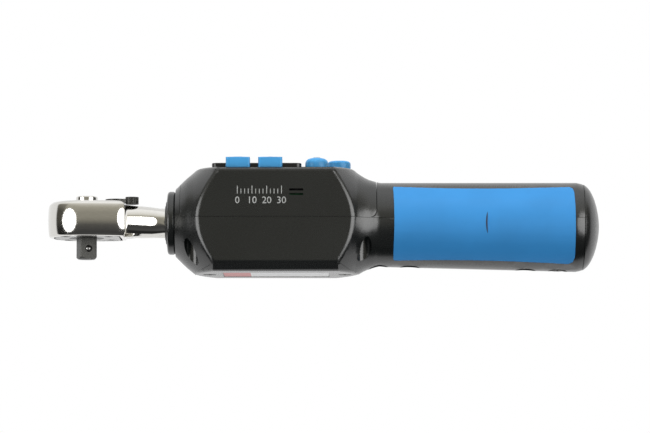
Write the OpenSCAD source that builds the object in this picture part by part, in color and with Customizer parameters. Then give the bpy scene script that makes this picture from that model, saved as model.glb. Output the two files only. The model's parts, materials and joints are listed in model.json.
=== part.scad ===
// Electronic digital torque wrench, 1/4 inch square drive, with ratchet head.
// Frame: the origin is the drive axis at the shoulder of the square.
// X runs from the head to the grip end, Z is up through the display side,
// and the square points down. Lengths are in mm.

/* [Head] */
// across the flats of the drive square
square_size = 6.35; // [6.3:0.01:6.4]
// length of the drive square below the shoulder
square_length = 7.85; // [7.2:0.05:9]
// turn of the square about the drive axis, degrees
square_turn = 18; // [0:1:89]
// thickness of the ratchet head
head_thickness = 13.2; // [13:0.1:15]
// radius of the round end of the head
head_radius = 14; // [13.9:0.1:16]
// drive axis to the neck end of the head
head_end = 14.6; // [14.4:0.1:16]
// rounding of the head's top edge
head_edge = 2.0; // [1:0.1:2.2]
// rounding of the head's bottom edge
head_bottom_edge = 0.9; // [0.6:0.1:1.2]
// teeth on the drive gear
gear_teeth = 48; // [36:12:60]
// tip radius of the drive gear
gear_radius = 7.8; // [7.4:0.05:7.8]
// radius of the release button
button_radius = 4.05; // [3.6:0.05:4.05]
// height of the release button above the head
button_height = 2.4; // [2:0.1:3]
// travel of the release button
button_travel = 1.5; // [1.5:0.1:1.5]
// radius of the ball in the square
ball_radius = 1.2; // [1.2:0.1:1.2]
// drive axis to the reversing lever's pivot
lever_pivot = 11; // [11:0.1:11.2]
// rest turn of the reversing lever, degrees
lever_turn = 26; // [20:1:26]

/* [Neck] */
// radius of the neck's round shank
shank_radius = 5.5; // [5.3:0.1:5.6]
// x of the soft boot's front
boot_start = 29.3; // [29.1:0.05:29.35]
// x of the collar's front face
collar_start = 30.2; // [30:0.1:31]
// radius of the collar
collar_radius = 11.75; // [11:0.05:12.2]

/* [Case] */
// height of the wrench's axis above the shoulder of the square
axis_height = 5.65; // [5:0.05:6.5]
// x of the case's front face
case_start = 33.2; // [33.2:0.1:33.2]
// half of the case's width
case_half_width = 20.5; // [19.5:0.1:21.5]
// top of the case at its side edges, above the axis
case_top = 19; // [19:0.1:19]
// rise of the case's top at its middle
case_crown = 0.9; // [0.5:0.1:1.2]
// case's bottom face, below the axis
case_bottom = 19.2; // [19:0.1:19.6]
// chamfer along the case's bottom
bottom_chamfer = 2.9; // [2:0.1:3.2]
// rounding along the case's top
top_round = 1.6; // [1:0.1:2]
// wall of the case
wall = 2.2; // [2:0.1:2.4]
// height of the joint between the halves, above the axis
seam_height = 0.6; // [0.2:0.1:1]
// gap at the joints between mouldings
seam_gap = 0.12; // [0.08:0.01:0.2]
// x of the display cover's front edge
cover_start = 35; // [35:0.1:35.2]
// x of the display cover's back edge
cover_end = 107.8; // [107.4:0.1:108]

/* [Grip] */
// x where the grip's straight taper starts
grip_start = 109.1; // [109.1:0.1:109.1]
// length of the grip's shells from there
grip_length = 75.3; // [75.3:0.1:75.3]
// radius of the grip at its start
grip_radius_front = 15.65; // [15.6:0.05:15.8]
// radius of the grip at its back
grip_radius_back = 16.6; // [16.5:0.05:16.8]
// grip's axis below the wrench's axis at its start
grip_drop = 0.63; // [0.4:0.01:0.8]
// slope of the grip's axis, degrees
grip_tilt = 0.73; // [0.5:0.01:0.8]
// how far the soft pads stand proud
pad_proud = 0.25; // [0.1:0.05:0.4]
// thickness of the soft pads
pad_thickness = 1.2; // [1:0.05:1.3]
// travel of the end cap as it unscrews
cap_travel = 6; // [4:0.5:8]

/* [Display and keys] */
// travel of the keys
key_travel = 0.6; // [0.4:0.1:0.7]
// side gap of the keys in their holes
key_gap = 0.15; // [0.1:0.01:0.2]
// radius of the round keys
round_key_radius = 4.3; // [4:0.1:4.3]
// length of the oblong keys
long_key_length = 8.9; // [8.5:0.1:9.2]
// width of the oblong keys
long_key_width = 4.6; // [4:0.1:4.8]

/* [Fits] */
// running clearance of turning and sliding pieces, on the radius
running_fit = 0.06; // [0.03:0.01:0.08]
// clearance of seated pieces
seat_fit = 0.05; // [0.03:0.01:0.08]

/* [Hidden] */
eps = 0.02;
round_fn = 96;
small_fn = 48;

// head, heights above the shoulder of the square
plate_thickness = 1.7;
plate_radius = 11.8;
plate_end = 12.4;
gear_bottom = plate_thickness + 0.1;
roof_bottom = 10.5;
gear_top = roof_bottom - 0.1;
gear_root = gear_radius - 0.55;
chamber_radius = gear_radius + 0.3;
journal_radius = 6.4;
tube_radius = 5.2;
chamber_floor = 9.2;
spring_floor = 3.5;
stem_radius = 1.15;
ball_height = -4;
ball_out = 2.475;
button_top = head_thickness + button_height;
button_bottom = 10.9;
corner_radius = 4.2;
corner_y = 8.4;
plate_corner_x = 8.6;
plate_corner_y = 6.6;
cover_screw_places = [[8.6, 7], [8.6, -7], [-7.2, 7.2], [-7.2, -7.2]];
crank_reach = 1.9;
crank_radius = 0.6;
pawl_turn = atan(crank_reach * sin(lever_turn) / (lever_pivot - crank_reach * cos(lever_turn)));
pawl_inner = gear_radius + 0.1;
pawl_outer = 9.8;
pawl_half_angle = 21;
pawl_top = 9.2;
detent_offset = 3.1;
lever_disc_bottom = head_thickness + 0.1;
lever_disc_top = lever_disc_bottom + 1.2;
tab_distance = 6.64;
tab_radius = 2.45;
tab_bottom = 12.45;
tab_top = 15.1;

// case, x and height above the axis
cavity_start = 37;
cavity_floor = -14.4;
roof_under = 17.2;
plate_seam = -16.5;
front_rise = 0.95;
crown_radius = case_half_width * case_half_width / (2 * case_crown);
front_curve = [
    [case_start, 12.6], [34.6, 14], [36.1, 15.5], [37.6, 16.9], [39.1, 18.1], [40.6, 19.4], [53, 31.2]
];
rear_curve = [
    [88.2, 31.2], [100.2, 19.4], [101.7, 18.4], [103.2, 17.5],
    [104.7, 16.8], [106.2, 16.35], [107.7, 15.95], [109.1, grip_radius_front]
];
case_screw_x = [39.5, 103.2];
case_screw_y = case_half_width - 7;
case_pocket_radius = 2.7;
case_pocket_top = -3;
plate_screw_x = [45.8, 96.1];
tray_screw_x = grip_start + grip_length - 21.1;
thread_screw_x = grip_start + grip_length - 9.2;
pad_end = grip_start + grip_length - 3.5;
grip_pocket_radius = 3.75;
beam_pocket_top = -8;
tray_pocket_top = -12.5;
thread_pocket_top = -17;
beam_half_height = 4.5;
beam_half_width = 6;
pin_x = 39.6;

// board, keys and display, height above the axis
board_bottom = 8.5;
board_top = 10.1;
board_front = 45;
board_back = 97;
board_half_width = case_half_width - 4;
board_screw_y = board_half_width - 2.6;
lead_y = board_half_width - 8;
board_screw_places = [
    [48.2, board_screw_y], [48.2, -board_screw_y], [92.6, board_screw_y], [92.6, -board_screw_y]
];
bezel_top = 21.5;
bezel_bottom = 18.4;
bezel_start = 46.8;
bezel_length = 33.2;
window_start = 51.2;
window_end = 75.4;
long_key_y = 6.8 - case_half_width;
long_key_x = [56.55, 68.5];
bezel_low = long_key_y + long_key_width / 2 + key_gap + 0.35;
bezel_high = case_half_width - 4.5;
window_low = bezel_low + 5.3;
window_high = bezel_high - 3.4;
long_key_top = 23.4;
dome_key_place = [85.65, -6];
flat_key_place = [94, 6];
round_key_top = 23.9;
switch_top = 13.1;
switch_half = 2.6;

// grip, in the grip's own frame
cell_length = 44.5;
cell_front = grip_length - cell_length - 11.3;
collar_front = cell_front + cell_length - 2;
collar_bore = 12;
collar_outer = 14.2;
cell_radius = 5.25;
cell_spacing = 5.4;
tray_front = cell_front - 2.5;
tray_back = collar_front - 0.3;
tray_half_width = cell_spacing + cell_radius + 0.85;
beam_end = grip_start + tray_front - 1.1;
beam_screw_x = [108.4, beam_end - 4.7];

plastic_color = [0.17, 0.18, 0.18];
chrome_color = [0.74, 0.74, 0.70];
steel_color = [0.42, 0.42, 0.41];
blue_color = [0.27, 0.62, 0.84];

// which piece to show

// ---------- helpers ----------

// children placed on the wrench's axis
module on_axis() {
    translate([0, 0, axis_height])
        children();
}

// children placed in the grip's sloping frame
module in_grip() {
    translate([grip_start, 0, axis_height - grip_drop])
        rotate([0, grip_tilt, 0])
            children();
}

// a solid turned about X from points [x, radius]
module turned(points) {
    rotate([0, 90, 0])
        rotate_extrude($fn = round_fn)
            polygon([for (p = points) [p[1], p[0]]]);
}

// a tube along X
module tube_x(start, end, outer, inner) {
    turned([[start, inner], [start, outer], [end, outer], [end, inner]]);
}

// a rod along X
module rod_x(start, end, radius) {
    translate([start, 0, 0])
        rotate([0, 90, 0])
            cylinder(h = end - start, r = radius, $fn = round_fn);
}

// an outline [x, z] carried along Y
module side_shape(points, half_width) {
    rotate([90, 0, 0])
        linear_extrude(height = 2 * half_width, center = true)
            polygon(points);
}

// a box from one corner to the other
module box(low, high) {
    translate(low)
        cube([high[0] - low[0], high[1] - low[1], high[2] - low[2]]);
}

// a rounded oblong on the XY plane
module rounded_plan(length, width, corner) {
    square([length - 2 * corner, width], center = true);
    square([length, width - 2 * corner], center = true);
    for (x = [-1, 1])
        for (y = [-1, 1])
            translate([x * (length / 2 - corner), y * (width / 2 - corner)])
                circle(r = corner, $fn = small_fn);
}

// a coil spring standing on the XY plane
module coil(radius, wire, height, turns) {
    sides = 6;
    steps = 16 * turns;
    rise = height - 2 * wire;
    points = [for (i = [0 : steps]) for (j = [0 : sides - 1])
        let (a = 360 * turns * i / steps, b = 360 * j / sides, r = radius + wire * cos(b))
        [r * cos(a), r * sin(a), wire + rise * i / steps + wire * sin(b)]];
    skin = [for (i = [0 : steps - 1]) for (j = [0 : sides - 1])
        let (k = (j + 1) % sides)
        [i * sides + j, i * sides + k, (i + 1) * sides + k, (i + 1) * sides + j]];
    front = [for (j = [sides - 1 : -1 : 0]) j];
    back = [for (j = [0 : sides - 1]) steps * sides + j];
    polyhedron(points = points, faces = concat(skin, [front], [back]));
}

// a pan head screw pointing up, its seat at z = 0
module pan_screw(head_radius, head_height, shank, length, recess) {
    difference() {
        union() {
            translate([0, 0, -head_height])
                cylinder(h = head_height, r = head_radius, $fn = small_fn);
            cylinder(h = length, r = shank, $fn = small_fn);
        }
        for (a = [0, 90])
            rotate([0, 0, a])
                translate([0, 0, -head_height])
                    cube([head_radius * 1.2, recess, head_height], center = true);
    }
}

// a wire through a list of points
module wire(points, radius) {
    for (i = [0 : len(points) - 2])
        let (step = points[i + 1] - points[i], length = norm(step))
            translate(points[i])
                rotate([0, acos(step[2] / length), atan2(step[1], step[0])])
                    cylinder(h = length, r = radius, $fn = 24);
    for (i = [1 : len(points) - 2])
        translate(points[i])
            sphere(r = radius * 1.1, $fn = 24);
}

// ---------- outer form of the case and grip ----------

module case_section(inset) {
    w = case_half_width - inset;
    t = case_top - inset;
    b = case_bottom - inset;
    c = bottom_chamfer;
    r = top_round;
    arc = [for (a = [0 : 22.5 : 90]) [w - r + r * cos(a), t - r + r * sin(a)]];
    arc_left = [for (a = [90 : 22.5 : 180]) [-w + r + r * cos(a), t - r + r * sin(a)]];
    rotate([90, 0, 90])
        linear_extrude(height = 260)
            polygon(concat([[-w, c - b], [c - w, -b], [w - c, -b], [w, c - b]], arc,
                [[w - r, t + 4], [r - w, t + 4]], arc_left));
}

module front_form(inset) {
    last = front_curve[len(front_curve) - 1];
    turned(concat([[case_start, 0]], [for (p = front_curve) [p[0], p[1] - inset]],
        [[200, last[1] - inset], [200, 0]]));
}

module rear_form(inset) {
    first = rear_curve[0];
    back = grip_length;
    points = concat([[first[0] - grip_start - 60, 0], [first[0] - grip_start - 60, first[1] - inset]],
        [for (p = rear_curve) [p[0] - grip_start, p[1] - inset]],
        [[back - 2.4, grip_radius_back - inset], [back - 0.8, grip_radius_back - 0.34 - inset],
            [back, grip_radius_back - 0.6 - inset], [back, 0]]);
    translate([grip_start, 0, -grip_drop])
        rotate([0, grip_tilt, 0])
            turned(points);
}

module crown_form(drop) {
    translate([0, 0, case_top + case_crown - drop - crown_radius])
        rotate([0, 90, 0])
            cylinder(h = 260, r = crown_radius, $fn = 360);
}

// the whole outside of the case and grip, on the axis
module envelope() {
    intersection() {
        case_section(0);
        crown_form(0);
        front_form(0);
        rear_form(0);
    }
}

// the hollow inside the case and grip, on the axis
module hollow() {
    intersection() {
        case_section(wall);
        front_form(wall + 0.8);
        rear_form(wall);
        box([cavity_start, -30, cavity_floor], [200, 30, roof_under]);
    }
    translate([grip_start, 0, -grip_drop])
        rotate([0, grip_tilt, 0])
            rod_x(collar_front - 0.1, grip_length + 1, collar_outer + running_fit);
}

// outline of the display cover, seen from the side
function cover_outline(g) = concat(
    [[cover_start + g, 40], [cover_start + g, seam_height + 3]],
    [for (a = [180 : 15 : 270]) [cover_start + 3 + (3 - g) * cos(a), seam_height + 3 + (3 - g) * sin(a)]],
    [for (a = [270 : 15 : 360]) [cover_end - 3 + (3 - g) * cos(a), seam_height + 3 + (3 - g) * sin(a)]],
    [[cover_end - g, seam_height + 3], [cover_end - g, 40]]);

// outline of the upper grip shell, seen from the side
function shell_outline(g) = concat(
    [[cover_end + g, 40], [cover_end + g, seam_height + 3]],
    [for (a = [345 : -15 : 285]) [cover_end - 3 + (3 + g) * cos(a), seam_height + 3 + (3 + g) * sin(a)]],
    [[cover_end - 1.5, seam_height + g], [200, seam_height + g], [200, 40]]);

// outline of the bottom plate, seen from the side
function plate_outline(g) = [[39.4 + g, -30], [39.4 + g, -18.7 - g], [42.4, -18.55 - g],
    [47.5, plate_seam - g], [94.5, plate_seam - g], [98.4, -18.55 - g], [101.3 - g, -18.7 - g],
    [101.3 - g, -30]];

// outline of a soft pad, seen from the side
function pad_outline(g) = [for (p = [
    [114.1, 12.88], [118, 12.73], [125, 12.43], [133, 12.2], [141, 12.08], [149, 12.06], [157, 12.14],
    [pad_end - 17, 12.3], [pad_end - 9, 12.5], [pad_end - 1.8, 12.7], [pad_end - 0.5, 12.1],
    [pad_end - 0.1, 10.6], [pad_end + 0.1, 5], [pad_end + 0.1, -6],
    [pad_end, -13.7], [pad_end - 0.6, -15.3], [pad_end - 2.2, -15.95], [pad_end - 9, -15.6],
    [pad_end - 17, -15.25], [157, -14.95],
    [149, -14.72], [141, -14.57], [133, -14.5], [125, -14.5], [118, -14.55], [114.4, -14.6],
    [113.9, -14.1], [114, -9], [114.15, -4], [114.2, 0], [114.15, 5], [114, 10], [113.8, 12.4]])
    [p[0] + (p[0] < 148 ? g : -g), p[1] + (p[1] > 0 ? -g : g)]];

// a layer of the grip between two depths, within a pad's outline
module pad_layer(outer, inner, g, side) {
    intersection() {
        translate([grip_start, 0, -grip_drop])
            rotate([0, grip_tilt, 0])
                turned([[0, grip_radius_front - inner], [0, grip_radius_front + outer],
                    [grip_length, grip_radius_back + outer + 0.03], [grip_length, grip_radius_back - inner]]);
        translate([0, side * 15.5, 0])
            side_shape(pad_outline(g), 14);
    }
}

// a part of the hollow's floor, roof or wall that carries a screw
module column(place, radius, low, high) {
    translate([place[0], place[1], low])
        cylinder(h = high - low, r = radius, $fn = small_fn);
}

// ---------- ratchet head ----------

module rounded_disc(radius) {
    e = head_edge;
    b = head_bottom_edge;
    h = head_thickness;
    rotate_extrude($fn = 40)
        polygon(concat([[0, 0]],
            [for (a = [-90 : 22.5 : 0]) [radius - b + b * cos(a), b + b * sin(a)]],
            [for (a = [0 : 22.5 : 90]) [radius - e + e * cos(a), h - e + e * sin(a)]],
            [[0, h]]));
}

// a thin faceted cross section of the neck
module neck_slice(x, half_width, low, high, bevel) {
    b = bevel;
    w = half_width;
    translate([x, 0, 0])
        rotate([90, 0, 90])
            linear_extrude(height = 0.1)
                polygon([[-w, low + b * 0.8], [-w + b * 0.8, low], [w - b * 0.8, low], [w, low + b * 0.8],
                    [w, high - b], [w - b, high], [-w + b, high], [-w, high - b]]);
}

module plate_plan(grow) {
    corner = plate_end - plate_corner_x + grow;
    circle(r = plate_radius + grow, $fn = round_fn);
    for (y = [-1, 1])
        translate([plate_corner_x, y * plate_corner_y])
            circle(r = corner, $fn = small_fn);
    translate([0, -plate_corner_y])
        square([plate_end + grow, 2 * plate_corner_y]);
    translate([0, -plate_corner_y - corner])
        square([plate_corner_x, 2 * (plate_corner_y + corner)]);
}

module sector(radius, half_angle, low, high) {
    translate([0, 0, low])
        linear_extrude(height = high - low)
            polygon([[0, 0], [radius * cos(half_angle), -radius * sin(half_angle)], [radius * 1.3, 0],
                [radius * cos(half_angle), radius * sin(half_angle)]]);
}

module ratchet_head() {
    color(chrome_color)
        difference() {
            union() {
                hull() {
                    rounded_disc(head_radius);
                    for (y = [-1, 1])
                        translate([head_end - corner_radius, y * corner_y, 0])
                            rounded_disc(corner_radius);
                }
                hull() {
                    neck_slice(12, 7.9, 0.1, 12.25, 3.6);
                    neck_slice(20.5, 6.4, 0.05, 12, 3.2);
                }
                hull() {
                    neck_slice(20.5, 6.4, 0.05, 12, 3.2);
                    neck_slice(24.5, 5.8, 0.15, 11.55, 2.9);
                }
                hull() {
                    neck_slice(24.5, 5.8, 0.15, 11.55, 2.9);
                    neck_slice(boot_start - 0.5, 5.3, 0.75, 10.9, 2.6);
                }
                on_axis()
                    rod_x(20, 43, shank_radius);
            }
            // recess for the cover plate
            translate([0, 0, -1])
                linear_extrude(height = 1 + plate_thickness)
                    plate_plan(seat_fit);
            // gear chamber and the bore for the drive's tube
            translate([0, 0, plate_thickness - eps])
                cylinder(h = roof_bottom - plate_thickness + eps, r = chamber_radius, $fn = round_fn);
            translate([0, 0, 5])
                cylinder(h = 20, r = tube_radius + running_fit, $fn = round_fn);
            // pawl pocket
            intersection() {
                translate([0, 0, plate_thickness - eps])
                    cylinder(h = roof_bottom - plate_thickness + eps, r = pawl_outer + 0.1, $fn = round_fn);
                sector(16, pawl_half_angle + pawl_turn + 1.5, 0, 20);
            }
            // room for the crank and the lever's bore
            box([7, -2.1, plate_thickness - eps], [plate_end - 0.1, 2.1, roof_bottom]);
            translate([lever_pivot, 0, 5])
                cylinder(h = 20, r = 1.55 + running_fit, $fn = small_fn);
            // bore for the lever's detent
            translate([lever_pivot, detent_offset, 9.5])
                cylinder(h = 8, r = 0.75, $fn = 24);
            // cover plate screws
            for (p = cover_screw_places)
                translate([p[0], p[1], plate_thickness - eps])
                    cylinder(h = 3.4, r = 1, $fn = 24);
            // slot for the torque beam and its pin
            on_axis()
                box([36, -2.5, -10], [50, 2.5, 10]);
            on_axis()
                translate([pin_x, 0, 0])
                    rotate([90, 0, 0])
                        cylinder(h = 20, r = 1.5, center = true, $fn = small_fn);
        }
}

module head_cover_plate() {
    color(steel_color)
        difference() {
            linear_extrude(height = plate_thickness)
                plate_plan(0);
            translate([0, 0, -1])
                cylinder(h = 5, r = journal_radius + running_fit, $fn = round_fn);
            for (p = cover_screw_places)
                translate([p[0], p[1], -eps]) {
                    cylinder(h = 5, r = 1, $fn = 24);
                    cylinder(h = 0.75, r1 = 1.75, r2 = 1, $fn = 24);
                }
        }
}

module cover_screws() {
    color(steel_color)
        for (p = cover_screw_places)
            translate([p[0], p[1], 0.08])
                difference() {
                    union() {
                        cylinder(h = 0.7, r1 = 1.6, r2 = 0.9, $fn = 24);
                        cylinder(h = 4.6, r = 0.95, $fn = 24);
                    }
                    for (a = [0, 90])
                        rotate([0, 0, a])
                            cube([1.7, 0.35, 0.8], center = true);
                }
}

module gear_plan() {
    step = 360 / gear_teeth;
    polygon([for (i = [0 : gear_teeth - 1]) each [
        [gear_root * cos(i * step), gear_root * sin(i * step)],
        [gear_radius * cos((i + 0.4) * step), gear_radius * sin((i + 0.4) * step)],
        [gear_radius * cos((i + 0.6) * step), gear_radius * sin((i + 0.6) * step)]]]);
}

module drive_gear() {
    color(steel_color)
        difference() {
            union() {
                // square with rounded corners and a chamfered end
                intersection() {
                    rotate([0, 0, square_turn])
                        box([-square_size / 2, -square_size / 2, -square_length],
                            [square_size / 2, square_size / 2, eps]);
                    rotate_extrude($fn = round_fn)
                        polygon([[0, -square_length], [square_size / 2 - 0.15, -square_length],
                            [square_size * 0.665, -square_length + 0.75], [square_size * 0.665, 1], [0, 1]]);
                }
                cylinder(h = gear_bottom + eps, r = journal_radius, $fn = round_fn);
                translate([0, 0, gear_bottom])
                    linear_extrude(height = gear_top - gear_bottom)
                        gear_plan();
                cylinder(h = head_thickness - 0.1, r = tube_radius, $fn = round_fn);
            }
            translate([0, 0, chamber_floor])
                cylinder(h = 10, r = button_radius + running_fit, $fn = round_fn);
            translate([0, 0, spring_floor])
                cylinder(h = 10, r = 3.3, $fn = small_fn);
            translate([0, 0, -6.95])
                cylinder(h = 14, r = stem_radius + running_fit, $fn = small_fn);
            rotate([0, 0, square_turn])
                translate([0, 0, ball_height])
                    rotate([90, 0, 0])
                        cylinder(h = 10, r = ball_radius + running_fit, $fn = small_fn);
        }
}

module drive_ball() {
    color(chrome_color)
        rotate([0, 0, square_turn])
            translate([0, -ball_out, ball_height])
                sphere(r = ball_radius, $fn = 32);
}

module release_button() {
    b = ball_height;
    color(chrome_color)
        rotate_extrude($fn = round_fn)
            polygon([[0, b - 1.3], [stem_radius, b - 1.3], [stem_radius, b], [0.7, b + 1.5], [0.7, b + 1.8],
                [stem_radius, b + 2.6], [stem_radius, button_bottom], [button_radius, button_bottom],
                [button_radius, button_top - 0.55], [button_radius - 0.16, button_top - 0.16],
                [button_radius - 0.55, button_top], [button_radius - 1.1, button_top],
                [button_radius - 1.35, button_top - 0.2], [0, button_top - 0.2]]);
}

module release_spring() {
    color(steel_color)
        translate([0, 0, spring_floor + eps])
            coil(2.4, 0.35, button_bottom - spring_floor - 2 * eps, 5);
}

module pawl() {
    color(steel_color)
        rotate([0, 0, pawl_turn])
            difference() {
                intersection() {
                    translate([0, 0, gear_bottom + 0.1])
                        cylinder(h = pawl_top - gear_bottom - 0.1, r = pawl_outer, $fn = round_fn);
                    sector(16, pawl_half_angle, 0, 20);
                }
                cylinder(h = 20, r = pawl_inner, $fn = round_fn);
                box([pawl_inner + 0.4, -crank_radius - 0.06, 0], [20, crank_radius + 0.06, 20]);
            }
}

module reverse_lever() {
    color(steel_color)
        translate([lever_pivot, 0, 0])
            rotate([0, 0, -lever_turn]) {
                translate([0, 0, lever_disc_bottom])
                    cylinder(h = lever_disc_top - lever_disc_bottom, r = 4.1, $fn = small_fn);
                translate([0, 0, roof_bottom - 1])
                    cylinder(h = lever_disc_top - roof_bottom, r = 1.55, $fn = small_fn);
                // arm
                box([0, -1.9, lever_disc_bottom], [tab_distance, 1.9, lever_disc_top]);
                // thumb tab with serrations
                difference() {
                    translate([tab_distance, 0, tab_bottom])
                        cylinder(h = tab_top - tab_bottom, r = tab_radius, $fn = small_fn);
                    for (a = [-80 : 20 : 80])
                        translate([tab_distance + tab_radius * cos(a), tab_radius * sin(a), tab_bottom - 1])
                            cylinder(h = 6, r = 0.24, $fn = 16);
                }
                // crank and its pin
                difference() {
                    translate([-crank_reach, 0, roof_bottom - 1])
                        cylinder(h = 0.9, r = 0.75, $fn = small_fn);
                    cylinder(h = 20, r = 1.5, $fn = small_fn);
                }
                box([-crank_reach, -0.75, roof_bottom - 1], [0, 0.75, roof_bottom - 0.1]);
                translate([-crank_reach, 0, gear_bottom + 0.4])
                    cylinder(h = roof_bottom - 1 - gear_bottom, r = crank_radius, $fn = small_fn);
            }
}

module detent_ball() {
    color(chrome_color)
        translate([lever_pivot, detent_offset, lever_disc_bottom - 0.75])
            sphere(r = 0.7, $fn = 24);
}

module detent_spring() {
    color(steel_color)
        translate([lever_pivot, detent_offset, 9.5 + eps])
            coil(0.5, 0.16, 2.3, 4);
}

// ---------- neck, beam and collar ----------

module neck_boot() {
    color([0.12, 0.12, 0.12])
        on_axis()
            turned([[boot_start, shank_radius + eps], [boot_start, 6.3], [boot_start + 0.2, 6.6],
                [boot_start + 0.3, 7.7], [boot_start + 0.6, 8], [boot_start + 0.7, 9.2],
                [collar_start, 9.4], [collar_start, shank_radius + eps]]);
}

module front_collar() {
    w = case_start - collar_start;
    r = collar_radius;
    color(plastic_color)
        on_axis()
            turned([[collar_start, shank_radius + 0.3], [collar_start, r - 0.9],
                [collar_start + 0.28, r - 0.3], [collar_start + 0.85, r],
                [collar_start + w - 0.85, r], [collar_start + w - 0.28, r - 0.3],
                [collar_start + w, r - 0.9], [collar_start + w, shank_radius + 0.3]]);
}

module torque_beam() {
    color([0.62, 0.63, 0.64])
        on_axis()
            difference() {
                union() {
                    box([36.2, -2.45, -4.2], [44, 2.45, 4.2]);
                    box([43.2, -beam_half_width, -beam_half_height],
                        [beam_end, beam_half_width, beam_half_height]);
                }
                // thin section that bends under load
                for (side = [-1, 1])
                    translate([70, 0, side * (beam_half_height + 0.5)])
                        cube([22, 30, 4], center = true);
                translate([70, 0, 0])
                    rotate([90, 0, 0])
                        cylinder(h = 30, r = 1.8, center = true, $fn = small_fn);
                translate([pin_x, 0, 0])
                    rotate([90, 0, 0])
                        cylinder(h = 20, r = 1.5, center = true, $fn = small_fn);
                for (x = beam_screw_x)
                    translate([x, 0, -10])
                        cylinder(h = 20, r = 1.4, $fn = 24);
            }
}

module neck_pin() {
    color(steel_color)
        on_axis()
            translate([pin_x, 0, 0])
                rotate([90, 0, 0])
                    cylinder(h = 9.2, r = 1.5, center = true, $fn = small_fn);
}

module strain_gauges() {
    color([0.80, 0.55, 0.25])
        on_axis()
            for (side = [-1, 1])
                for (x = [65.2, 74.8])
                    translate([x, 0, side * 3.08])
                        cube([6, 4, 0.16], center = true);
}

module gauge_leads() {
    color([0.75, 0.15, 0.12])
        on_axis()
            for (y = [-1.2, 1.2])
                wire([[62.6, y, 3.4], [62.6, y, 5.5], [60.6, y, 6.6], [60.6, y, board_bottom]], 0.22);
}

// ---------- case ----------

module case_pockets() {
    for (x = case_screw_x)
        for (y = [-case_screw_y, case_screw_y]) {
            column([x, y], case_pocket_radius, -40, case_pocket_top);
            column([x, y], 1.15, -40, 7.5);
        }
    for (x = plate_screw_x) {
        column([x, 0], 2.45, -40, -18.1);
        column([x, 0], 1.2, -40, -12.3);
    }
    for (x = beam_screw_x) {
        column([x, 0], grip_pocket_radius, -40, beam_pocket_top);
        column([x, 0], 1.3, -40, 10.3);
    }
    column([tray_screw_x, 0], grip_pocket_radius, -40, tray_pocket_top);
    column([tray_screw_x, 0], 1.3, -40, -8.3);
    column([thread_screw_x, 0], grip_pocket_radius, -40, thread_pocket_top);
    column([thread_screw_x, 0], 1.3, -40, -13.5);
}

module lower_housing() {
    color(plastic_color)
        on_axis()
            difference() {
                union() {
                    difference() {
                        envelope();
                        hollow();
                    }
                    intersection() {
                        envelope();
                        union() {
                            for (x = case_screw_x)
                                for (y = [-case_screw_y, case_screw_y])
                                    column([x, y], 4.3, -30, 20);
                            for (x = plate_screw_x)
                                column([x, 0], 3.2, -30, -11);
                            for (x = beam_screw_x)
                                column([x, 0], 5.2, -30, -beam_half_height - seat_fit);
                            column([tray_screw_x, 0], 5.2, -30, -11.2);
                        }
                    }
                }
                side_shape(cover_outline(0), 40);
                side_shape(shell_outline(0), 40);
                side_shape(plate_outline(0), 40);
                case_pockets();
                rod_x(30, 40, shank_radius + 0.3);
                pad_layer(6, pad_thickness - pad_proud + seat_fit, 0, -1);
                pad_layer(6, pad_thickness - pad_proud + seat_fit, 0, 1);
            }
}

module key_holes() {
    for (x = long_key_x)
        translate([x, long_key_y, 10])
            linear_extrude(height = 20)
                rounded_plan(long_key_length + 2 * key_gap, long_key_width + 2 * key_gap, 0.9);
    column(dome_key_place, round_key_radius + key_gap, 10, 30);
    column(flat_key_place, round_key_radius + key_gap, 10, 30);
}

module bezel_plan(grow) {
    translate([bezel_start + bezel_length / 2, (bezel_low + bezel_high) / 2])
        rounded_plan(bezel_length + 2 * grow, bezel_high - bezel_low + 2 * grow, 2);
}

module display_cover() {
    color(plastic_color)
        on_axis()
            difference() {
                intersection() {
                    union() {
                        difference() {
                            envelope();
                            hollow();
                        }
                        intersection() {
                            envelope();
                            union() {
                                for (x = case_screw_x)
                                    for (y = [-case_screw_y, case_screw_y])
                                        column([x, y], 3.3, 0, 9);
                                for (p = board_screw_places)
                                    column(p, 2.3, board_top, 18);
                            }
                        }
                    }
                    side_shape(cover_outline(seam_gap), 40);
                }
                // bezel seat, display window and keys
                translate([0, 0, bezel_bottom])
                    linear_extrude(height = 10)
                        bezel_plan(seat_fit);
                box([window_start - 0.5, window_low - 0.5, 10], [window_end + 0.5, window_high + 0.5, 30]);
                key_holes();
                // sound slots
                box([75.6, -30, 10.2], [80.7, -10, 11]);
                box([75.6, -30, 8.5], [80.7, -10, 9.3]);
                for (x = case_screw_x)
                    for (y = [-case_screw_y, case_screw_y])
                        column([x, y], 1.15, -10, 7.5);
                for (p = board_screw_places)
                    column(p, 0.95, 5, 15.5);
                rod_x(30, 40, shank_radius + 0.3);
            }
}

module bottom_plate() {
    color(plastic_color)
        on_axis()
            difference() {
                intersection() {
                    envelope();
                    side_shape(plate_outline(seam_gap), 40);
                }
                for (x = plate_screw_x) {
                    column([x, 0], 2.45, -40, -18.1);
                    column([x, 0], 1.2, -40, -12);
                }
                // label recess
                box([50.9, -9.2, -30], [90.3, 9.2, -case_bottom + 0.25]);
            }
}

module bottom_label() {
    color([0.85, 0.85, 0.85])
        on_axis()
            translate([70.6, 0, -case_bottom + 0.08])
                linear_extrude(height = 0.17)
                    rounded_plan(39, 18, 1);
}

module housing_screws() {
    color(steel_color)
        on_axis()
            for (x = case_screw_x)
                for (y = [-case_screw_y, case_screw_y])
                    translate([x, y, case_pocket_top])
                        pan_screw(2.3, 1.6, 1.1, 10, 0.5);
}

module bottom_plate_screws() {
    color(steel_color)
        on_axis()
            for (x = plate_screw_x)
                translate([x, 0, -18.1])
                    pan_screw(2.2, 0.95, 1.1, 5.6, 0.45);
}

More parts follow.
